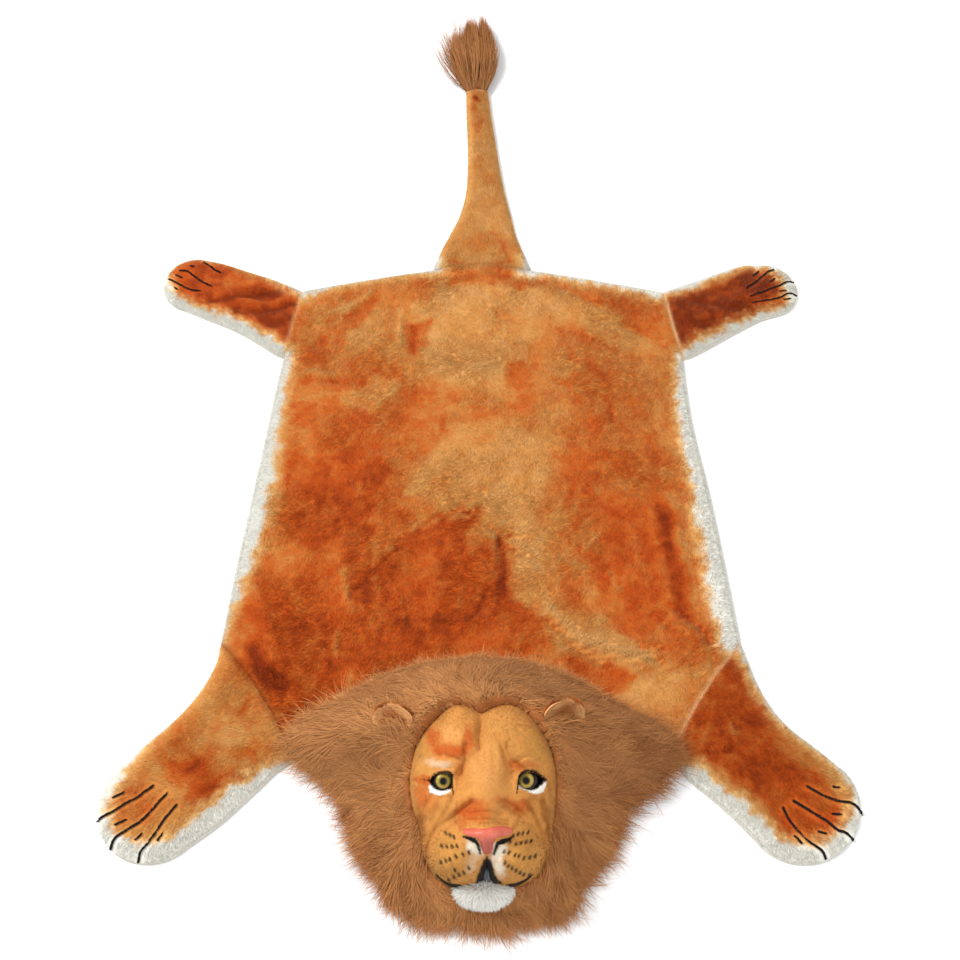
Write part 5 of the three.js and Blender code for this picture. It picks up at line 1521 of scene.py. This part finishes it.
def build_tuft_core():
    """The tuft's bound core: ovals of half width 12 plus 20 sin(0.92 pi s)^0.8."""
    s = np.linspace(0, 1, TUFT_ROWS)[:, None]
    turn = np.linspace(0, 2 * np.pi, TUFT_TURNS, endpoint=False)[None]
    wide = 12 + 20 * np.sin(np.pi * np.clip(s * 0.92, 0, 1)) ** 0.8
    x = TUFT_ROOT[0] - 3 * s + wide * np.cos(turn)
    y = TUFT_ROOT[1] + 1 + 100 * s + 0 * turn
    z = 8 + (5.5 + 2 * np.sin(np.pi * s)) * np.sin(turn)
    core = np.stack([x, y, np.maximum(z, 0.5)], -1).reshape(-1, 3)
    around = np.arange(TUFT_TURNS)[None]
    faces = [
        quads(TUFT_ROWS, TUFT_TURNS, closed=True)[:, ::-1],
        around,
        (TUFT_ROWS - 1) * TUFT_TURNS + around[:, ::-1],
    ]
    made = piece("tuft_core", core, faces, np.tile(HAIR_DARK * 0.8, (len(core), 1)), hair_ground)
    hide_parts("tail_tuft")


def build_tuft(rng):
    """The tuft: its core and hairs that fan to an oval of tips, across by s^0.62 and along by s.

    Their height adds a sine of 0.75 pi s. Some stray past the rest.
    """
    build_tuft_core()
    count = TUFT_HAIRS
    side = rng.uniform(-1, 1, count)
    level = rng.uniform(-1, 1, count)
    lock = np.round(side * 9 + 0.4 * level).astype(int) % TUFT_LOCKS
    noise = np.random.default_rng(TUFT_SEED).standard_normal((TUFT_LOCKS, 3))[lock]
    root = np.stack([TUFT_ROOT[0] + side * 13, TUFT_ROOT[1] + rng.uniform(-4, 26, count), 7 + level * 5], -1)
    stray = rng.random(count) < 0.07
    aim = side + 0.1 * rng.standard_normal(count) + 0.16 * noise[:, 1]
    most = np.interp(aim, TUFT_FAN, TUFT_REACH)
    reach = (most + 9 * noise[:, 0] + 24 * stray * rng.random(count)) * rng.uniform(0.45, 1.0, count) ** 0.45
    aside = np.clip(aim, -1.2, 1.1) * (36 + 10 * stray) * (0.55 + 0.45 * rng.random(count) ** 0.5)
    tip_x = TUFT_ROOT[0] - 4 + aside
    tip_x = tip_x - 26 * stray * rng.random(count) ** 2
    tip_y = TUFT_ROOT[1] + np.minimum(reach, 184)
    s = np.linspace(0, 1, TUFT_STEPS)[None]
    across = (tip_x[:, None] - root[:, :1]) * s**0.62 * (1.12 - 0.12 * s)
    x = root[:, :1] + across + 5 * noise[:, 2:3] * np.sin(3 * s)
    y = root[:, 1:2] + (tip_y[:, None] - root[:, 1:2]) * s
    z = root[:, 2:3] + (level[:, None] * 9 + 7) * np.sin(np.pi * s * 0.75) - 4 * s
    paths = np.stack([x, y, np.maximum(z, 0.8)], -1)
    lean = unit(np.stack([0.5 * side, 0 * side, 0.4 + 0.6 * np.abs(level)], -1))
    normals = np.zeros_like(paths) + lean[:, None]
    tone = np.clip(0.26 + 0.14 * noise[:, 2] + 0.18 * rng.standard_normal(count), 0, 1)
    tip = mixed(HAIR_DARK, HAIR_LIGHT, tone)
    width = 0.9 + 0.4 * rng.random(count)
    # Roots at 0.6 of the tips' colour: a painted shade deep in the tuft.
    hairs("tuft_hair", paths, width, tip * 0.6, tip, normals, long_hair, rng)


# The stuffed head

def opening_distance(a, b, name):
    """The distance to the rim of an eye's opening, below 0 inside it, on the picture plane."""
    loop = loop_line(EYE_OPENING[name], LID_POINTS)
    d = distance_to_line(a, b, np.concatenate([loop, loop[:1]]))
    return np.where(inside_loop(a, b, loop), -d, d)


def head_level(a, b, r):
    """The face's height along n: a dome (1 - r^power)^0.62 plus swellings that fade as 1 - r^6.

    An eye's opening has a rim exp(-((d - 2.6) / 3)^2) and is sunk by 9. A crease takes off its depth times
    exp(-(distance / width)^2).
    """
    n = HEAD_RIM + HEAD_DOME * (1 - np.clip(r, 0, 1) ** HEAD_POWER) ** HEAD_ROUND
    fade = 1 - np.clip(r, 0, 1) ** 6
    for cx, cy, half_a, half_b, turn, rise in FACE_FORMS:
        n = n + fade * rise * soft_spot(a, b, cx, cy, half_a, half_b, turn)
    for name in EYES:
        d = opening_distance(a, b + 3.2, name)
        n = n + 3.4 * bell(d - 2.6, 3.0) - 9.0 * ease(0.8, -1.6, d)
    for line, width, depth in FACE_CREASES:
        n = n - CREASE_DEPTH * fade * depth * bell(distance_to_curve(a, b, line), width)
    return n + clouds("face lumps", a, b) * fade


def head_at(a, b):
    """The face's height along n at any place on it."""
    turn, out = polar(a, b, HEAD_CENTRE)
    return head_level(a, b, out / polar_reach(HEAD_OUTLINE, HEAD_CENTRE, turn))


def picture_plane(points):
    """Where points fall on the picture plane: their place off the eye's line, times its distance / depth."""
    c, s = np.cos(VIEW_SLOPE), np.sin(VIEW_SLOPE)
    y = points[..., 1] - LOOK_Y
    t = y * s + points[..., 2] * c
    depth = VIEW_DISTANCE + y * c - points[..., 2] * s
    return points[..., 0] * VIEW_DEPTH / depth - PLANE_A, PLANE_B + t * VIEW_DEPTH / depth


def face_colour(points):
    """The face's paints by their shares: tan, patches, brown lines and a rim of painted shade, white and black.

    A brown line's share is exp(-(distance / half width)^2), and the other marks ease off at their edges.
    """
    a, b = picture_plane(points)
    black = FACE_PAINTS["black"]
    colour = FACE_PAINTS["tan"] * (1 + clouds("face shade", a, b)[..., None])
    bent_a, bent_b = a + clouds("face bend a", a, b), b + clouds("face bend b", a, b)
    uneven = 1 + clouds("face patches", a, b)
    for name, cx, cy, half_a, half_b, turn, strength in FACE_PATCHES:
        spot = soft_spot(bent_a, bent_b, cx, cy, half_a, half_b, turn) * uneven
        colour = mixed(colour, FACE_PAINTS[name], strength * firmer(spot, 0.4, 0.6))
    broken = np.clip(0.8 + clouds("face lines", a, b), 0, 1)
    # The brown lines are painted shade along the creases.
    for half_width, strength, line in FACE_LINES:
        near = bell(distance_to_curve(a, b, line), half_width) * broken
        colour = mixed(colour, FACE_PAINTS["brown"], strength * near)
    # Darker towards the head's outline: a painted shade where the face turns away.
    colour = colour * (1 - 0.14 * ease(-12, -1, beside_head(points)))[..., None]
    for thickness, line in UNDER_EYE_WHITE:
        d = distance_to_curve(a, b, line, 16)
        colour = mixed(colour, FACE_PAINTS["white"], ease(thickness + 0.8, thickness - 0.6, d))
    for first, last, line in FACE_BLACK.values():
        colour = mixed(colour, black, stroke(a, b, line, first, last))
    for name in EYES:
        colour = mixed(colour, black, ease(0.6, -0.6, opening_distance(a, b, name)))
    for cx, cy in WHISKER_MARKS:
        slant = a - cx - 0.35 * np.sign(cx) * (b - cy)
        colour = mixed(colour, black * 1.6, 0.9 * ease(2.3, 1.0, np.hypot(slant, 0.62 * (b - cy))))
    cleft = ease(2.4, 0.2, np.abs(a - CLEFT_A) - np.interp(-b, CLEFT_DOWN, CLEFT_HALF))
    return mixed(colour, black * 2.2, cleft * ease(-84, -88, b) * ease(-124, -118, b))


def dome_grid(loop, centre, rings, turns, level):
    """A dome's a, b and level(a, b, r) on rings, 1 - (1 - share)^1.12 of the way from its centre."""
    rim = loop_line(loop, turns) - centre
    r = (1 - (1 - np.linspace(0, 1, rings)) ** 1.12)[:, None]
    a, b = centre[0] + rim[None, :, 0] * r, centre[1] + rim[None, :, 1] * r
    return a, b, level(a, b, r + 0 * a)


def dome_piece(name, grid, skirt, base, tint, material):
    """A dome with straight sides back along n by the skirt's depths, and a flat bottom at its base."""
    a, b, n = grid
    turns = a.shape[1]
    walls = np.stack([from_face(a[-1], b[-1], n[-1] - depth) for depth in skirt])
    walls[..., 2] = np.maximum(walls[..., 2], base)
    points = np.concatenate([from_face(a, b, n), walls])
    rows = len(points)
    faces = [quads(rows, turns, closed=True), fan((rows - 1) * turns, turns, rows * turns)]
    every = joined([points, points[-1].mean(0)])
    return piece(name, every, faces, tint(every), material), points


def build_head(rng):
    """The head's dome and its pile, brushed away from the nose, with none on the eyes and the nose."""
    grid = dome_grid(HEAD_OUTLINE, HEAD_CENTRE, HEAD_RINGS, HEAD_TURNS, head_level)
    head, points = dome_piece("head_cloth", grid, HEAD_SKIRT, BASE, face_colour, face_ground)
    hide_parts("head")
    top = points[:HEAD_RINGS + 2]
    closed = np.concatenate([top, top[:, :1]], 1)
    normals = unit(np.cross(np.gradient(closed, axis=0), np.gradient(closed, axis=1)))
    out = np.array([0, -np.sin(LEAN), np.cos(LEAN)])
    normals *= np.where(np.sum(normals * out, -1, keepdims=True) < -0.2, -1, 1)
    places = sown(closed, HEAD_BLADES, rng)
    root, normal = read(closed, places), unit(read(normals, places))
    a, b = picture_plane(root)
    open_face = np.min([opening_distance(a, b, name) for name in EYES], axis=0) > 0.4
    keep = open_face & ~inside_loop(a, b, loop_line(NOSE_OUTLINE, NOSE_POINTS))
    root, normal, a, b = root[keep], normal[keep], a[keep], b[keep]
    away = unit(np.stack([(a - 3) * 0.9, b + 60, 0 * a], -1) + [0, 0.01, 0])
    heading = unit(laid(up_the_face(away), normal) + 0.3 * rng.standard_normal(root.shape))
    tint, count = face_colour(root), len(root)
    length = 3.2 * (0.7 + 0.6 * rng.random(count))
    root = root - normal * 0.4 - heading * 0.45 * length[:, None]
    width = 0.85 + 0.4 * rng.random(count)
    rise = 0.16 + 0.16 * rng.random(count)
    blades("head_pile", root, normal, heading, length, width, rise, tint, face_pile, rng,
           tips=1.04, roots=0.94, scatter=0.1)


def build_eyes():
    """Two balls whose iris and rings lie by the distance from the gaze, with uneven rays."""
    black = FACE_PAINTS["black"] * 0.5
    for name, (a, b, n, radius, gaze) in EYES.items():
        polar_turn = np.linspace(0.02, np.pi - 0.02, EYE_ROWS)[:, None]
        turn = np.linspace(0, 2 * np.pi, EYE_TURNS, endpoint=False)[None]
        u = radius * np.sin(polar_turn) * np.cos(turn)
        v = radius * np.sin(polar_turn) * np.sin(turn)
        w = radius * np.cos(polar_turn) + 0 * turn
        off = np.hypot(u - radius * gaze, v - radius * 0.1)
        ray = 0.5 + 0.5 * unevenness(9 * turn + 0 * off, off, 1.0, IRIS_SEED)
        colour = mixed(IRIS_INNER, IRIS * (0.7 + 0.5 * ray[..., None]), ease(3.8, 5.6, off))
        colour = mixed(colour, IRIS_OUTER, ease(7.4, 8.8, off))
        colour = mixed(colour, black, ease(3.9, 3.2, off))
        colour = mixed(colour, black, ease(8.6, 9.6, off))
        around = np.arange(EYE_TURNS)[None]
        last = (EYE_ROWS - 1) * EYE_TURNS
        faces = [quads(EYE_ROWS, EYE_TURNS, closed=True), around[:, ::-1], last + around]
        points = from_face(a + u, b + v, n + w).reshape(-1, 3)
        made = piece(name + "_dome", points, faces, colour.reshape(-1, 3), domed_eye)
        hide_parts(name)


def on_face(plane_a, plane_b):
    """The face's a and b seen at a place on the picture plane, found in four steps.

    Each takes the plane's place times (plane distance - n) / plane distance, with n the last height.
    """
    n = 20.0
    for _ in range(4):
        k = (VIEW_DEPTH - n) / VIEW_DEPTH
        a, b = (plane_a + PLANE_A) * k - EYE_A, (plane_b - PLANE_B) * k + EYE_B
        n = float(head_at(np.array(a), np.array(b)))
    return a, b


def build_nose():
    """The nose: a rounded pad over its outline, raised off the face, its wings fuller than its stem."""
    def level(a, b, r):
        """The face's height plus a pillow (1 - r^3.2)^0.5 with two wings, less a groove."""
        wings = 2.0 * (soft_spot(a, b, -13, -53, 9, 5, 0) + soft_spot(a, b, 21, -52, 9, 5, 0))
        groove = 1.4 * soft_spot(a, b, 3.4, -70, 1.8, 12, 0)
        return head_at(a, b) + 0.3 + (5.0 + wings) * np.clip(1 - r**3.2, 0, 1) ** 0.5 - groove

    def tint(points):
        """Pink mixed with a deeper pink, by clouds and more towards the stem."""
        a, b = face_coordinates(points)[:2]
        shade = np.clip(0.2 + clouds("nose shade", a, b) + 0.8 * ease(-55, -64, b), 0, 1)
        return mixed(NOSE_PINK, NOSE_DEEP, shade * 0.85)

    outline = [on_face(*place) for place in NOSE_OUTLINE]
    grid = dome_grid(outline, on_face(*NOSE_CENTRE), NOSE_RINGS, NOSE_TURNS, level)
    made = dome_piece("nose_pad", grid, NOSE_SKIRT, BASE, tint, nose_rubber)[0]
    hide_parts("nose")


def build_mouth():
    """The mouth's lining: a dark wedge that hollows back between the whisker pads."""
    def level(a, b, r):
        """The face's height near its middle line, less 1 and plus 3.2 (1 - r^2)."""
        return head_at(a * 0.4 + 2.4, b) - 1.0 + 3.2 * (1 - r**2)

    def tint(points):
        """Dark cloth mixed with grey low in its middle, by the share of its half width and clouds."""
        a, b = picture_plane(points)
        side = np.abs(a - MOUTH_CENTRE[0]) / np.interp(-b, [84, 114], [2.0, 12])
        grey = ease(0.75, 0.35, side) * ease(-95, -103, b) * (0.75 + clouds("lining shade", a, b))
        return mixed(LINING_DARK, LINING_GREY, np.clip(grey, 0, 1))

    outline = [on_face(*place) for place in MOUTH_OUTLINE]
    grid = dome_grid(outline, on_face(*MOUTH_CENTRE), MOUTH_RINGS, MOUTH_TURNS, level)
    made = dome_piece("mouth_lining", grid, MOUTH_SKIRT, BASE, tint, face_ground)[0]
    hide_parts("mouth")


def build_chin(rng):
    """The chin: a low oval dome with white hairs that spread from its top and droop by 2 s^2."""
    def level(a, b, r):
        """A low dome: its rim plus its rise times the square root of 1 - r^2.4, and clouds."""
        return CHIN["rim"] + CHIN["dome"] * np.sqrt(np.clip(1 - r**2.4, 0, 1)) + clouds("chin lumps", a, b)

    def tint(points):
        """White times 0.95 plus clouds."""
        return CHIN_WHITE * (0.95 + clouds("chin shade", points[:, 0], points[:, 1])[:, None])

    turns = np.linspace(0, 2 * np.pi, 12, endpoint=False)
    loop = [(CHIN["a"] + CHIN["half_a"] * np.cos(t), CHIN["b"] + CHIN["half_b"] * np.sin(t)) for t in turns]
    grid = dome_grid(loop, (CHIN["a"], CHIN["b"]), CHIN_RINGS, CHIN_TURNS, level)
    made, points = dome_piece("chin_cloth", grid, CHIN_SKIRT, CHIN_BASE, tint, chin_hair)
    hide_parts("chin")
    top = np.concatenate([points[:CHIN_RINGS + 1], points[:CHIN_RINGS + 1, :1]], 1)
    normals = unit(np.cross(np.gradient(top, axis=0), np.gradient(top, axis=1)))
    places = sown(top, CHIN_HAIRS, rng)
    root, normal, count = read(top, places), unit(read(normals, places)), CHIN_HAIRS
    a, b = face_coordinates(root)[:2]
    apart = np.stack([(a - CHIN["a"]) / 30, (b - CHIN["b"] - 10) / 14, 0 * a], -1)
    apart = unit(apart + 0.45 * rng.standard_normal((count, 3)))
    heading = unit(laid(up_the_face(apart), normal, 0.8) + 0.35 * normal)
    s = np.linspace(0, 1, CHIN_STEPS)[None, :, None]
    length = (6 + 6 * rng.random(count))[:, None, None]
    paths = root[:, None] + heading[:, None] * length * s + normal[:, None] * 2.4 * np.sin(np.pi * s * 0.8)
    paths = paths - np.array([0, 0, 2.0]) * s**2
    paths[..., 2] = np.maximum(paths[..., 2], 0.8)
    tone = CHIN_WHITE * (0.94 + 0.1 * rng.random((count, 1)))
    # Roots a little darker and tips a little paler: painted shade and painted light.
    hairs("chin_hair", paths, 0.9 + 0.4 * rng.random(count), tone * 0.92, tone * 1.06,
          np.repeat(normal[:, None], CHIN_STEPS, 1), chin_hair, rng)


def ear_grid(ear):
    """An ear's front and back: cupped by 1 - u^2 and thinner by the roots of 1 - u^4 and 1 - v^4.

    Its half width falls as (1 - v^power)^(1 / power). Three turns set it on the face.
    """
    v = np.sin(np.linspace(0, 1, EAR_ROWS) * np.pi / 2)[:, None]
    u = np.linspace(-1, 1, EAR_COLUMNS)[None]
    power = EAR["roundness"]
    outline = np.maximum(0.12, (1 - v**power).clip(0, 1) ** (1 / power))
    wide = EAR["half_width"] * (0.78 + 0.22 * ease(0, 0.5, v)) * outline
    cup = -EAR["cup"] * (1 - u**2) * (1 - 0.5 * v)
    thick = EAR["thickness"] * np.sqrt(np.clip(1 - u**4, 0.1, 1)) * np.sqrt(np.clip(1 - v**4, 0.1, 1))
    x, y = u * wide, v * EAR["height"] + 0 * u
    lean, turn, roll = np.radians([ear["lean"], -ear["turn"], ear["roll"]])
    sides = []
    for z in (cup + 0.2 * thick, cup - 0.8 * thick):
        y1, z1 = y * np.cos(lean) - z * np.sin(lean), y * np.sin(lean) + z * np.cos(lean)
        x2, z2 = x * np.cos(turn) + z1 * np.sin(turn), z1 * np.cos(turn) - x * np.sin(turn)
        x3, y3 = x2 * np.cos(roll) - y1 * np.sin(roll), x2 * np.sin(roll) + y1 * np.cos(roll)
        sides.append(from_face(ear["a"] + x3, ear["b"] + y3, ear["n"] + z2))
    return sides, u + 0 * v, v + 0 * u


def build_ears(rng):
    """Two ears: a closed flap each, with painted shade in its hollow, and pile brushed to its tip on both
    sides.
    """
    for name, ear in EARS.items():
        (front, back), u, v = ear_grid(ear)
        half = EAR_ROWS * EAR_COLUMNS
        rim = rim_of(np.arange(half).reshape(EAR_ROWS, EAR_COLUMNS))
        after = np.roll(rim, -1)
        walls = np.stack([rim, rim + half, after + half, after], -1)
        # Darker in the hollow: a painted shade in the ear's cup.
        hollow = ease(0.85, 0.3, np.hypot(u * 1.05, (v - 0.4) * 1.3))
        inside, outside = mixed(EAR_INSIDE, EAR_HOLLOW, hollow), EAR_OUTSIDE + 0 * back
        faces = [quads(EAR_ROWS, EAR_COLUMNS), quads(EAR_ROWS, EAR_COLUMNS, half)[:, ::-1], walls]
        made = piece(name + "_flap", joined([front, back]), faces, joined([inside, outside]), face_ground)
        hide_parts(name)
        for side, grid, colours, facing in (("front", front, inside, 1), ("back", back, outside, -1)):
            normals = facing * unit(np.cross(np.gradient(grid, axis=1), np.gradient(grid, axis=0)))
            places = sown(grid, EAR_BLADES, rng)
            root, normal = read(grid, places), unit(read(normals, places))
            up = unit(read(np.gradient(grid, axis=0), places) + 0.25 * rng.standard_normal(root.shape))
            length = 4.0 + 4.0 * rng.random(EAR_BLADES)
            width = 0.8 + 0.3 * rng.random(EAR_BLADES)
            rise = 0.4 + 0.4 * rng.random(EAR_BLADES)
            blades(name + "_pile_" + side, root - 0.3 * normal, normal, up, length, width, rise,
                   read(colours, places), face_pile, rng, tips=1.05, roots=0.85)


# Stage

def turned_to(place, target):
    """The turn of a lamp or a camera that looks from a place to a target."""
    return (Vector(target) - Vector(place)).to_track_quat("-Z", "Y").to_euler()


def soft_light(name, place, size, watts):
    """A square soft lamp at a place, in metres, turned to the rug."""
    lamp = bpy.data.lights.new(name, "AREA")
    lamp.size, lamp.energy = size, watts
    made = bpy.data.objects.new(name, lamp)
    made.location = place
    made.rotation_euler = turned_to(place, LIT)
    bpy.context.scene.collection.objects.link(made)


def build_stage():
    """White daylight from all round, the lamps, and the camera at the photograph's view."""
    world = bpy.data.worlds.new("studio")
    world.use_nodes = True
    background = world.node_tree.nodes["Background"]
    background.inputs["Color"].default_value = (1, 1, 1, 1)
    background.inputs["Strength"].default_value = DAYLIGHT
    scene = bpy.context.scene
    scene.world = world
    scene.view_settings.view_transform = "Standard"
    for lamp in LAMPS:
        soft_light(*lamp)
    lens = bpy.data.cameras.new("camera")
    lens.sensor_width, lens.lens = SENSOR, SENSOR * LENS_PIXELS / PICTURE_PIXELS
    camera = bpy.data.objects.new("camera", lens)
    camera.location = CAMERA
    camera.rotation_euler = turned_to(camera.location, (0, LOOK_Y * MM, 0))
    scene.collection.objects.link(camera)
    scene.camera = camera


build_stage()
build_floor()
draws = np.random.default_rng(DRAW_SEED)
build_back(draws)
for leg_name, leg_table in LEGS.items():
    build_leg(leg_name, leg_table, draws)
build_tail(draws)
build_tuft(draws)
build_mane(draws)
build_head(draws)
build_eyes()
build_nose()
build_mouth()
build_chin(draws)
build_ears(draws)
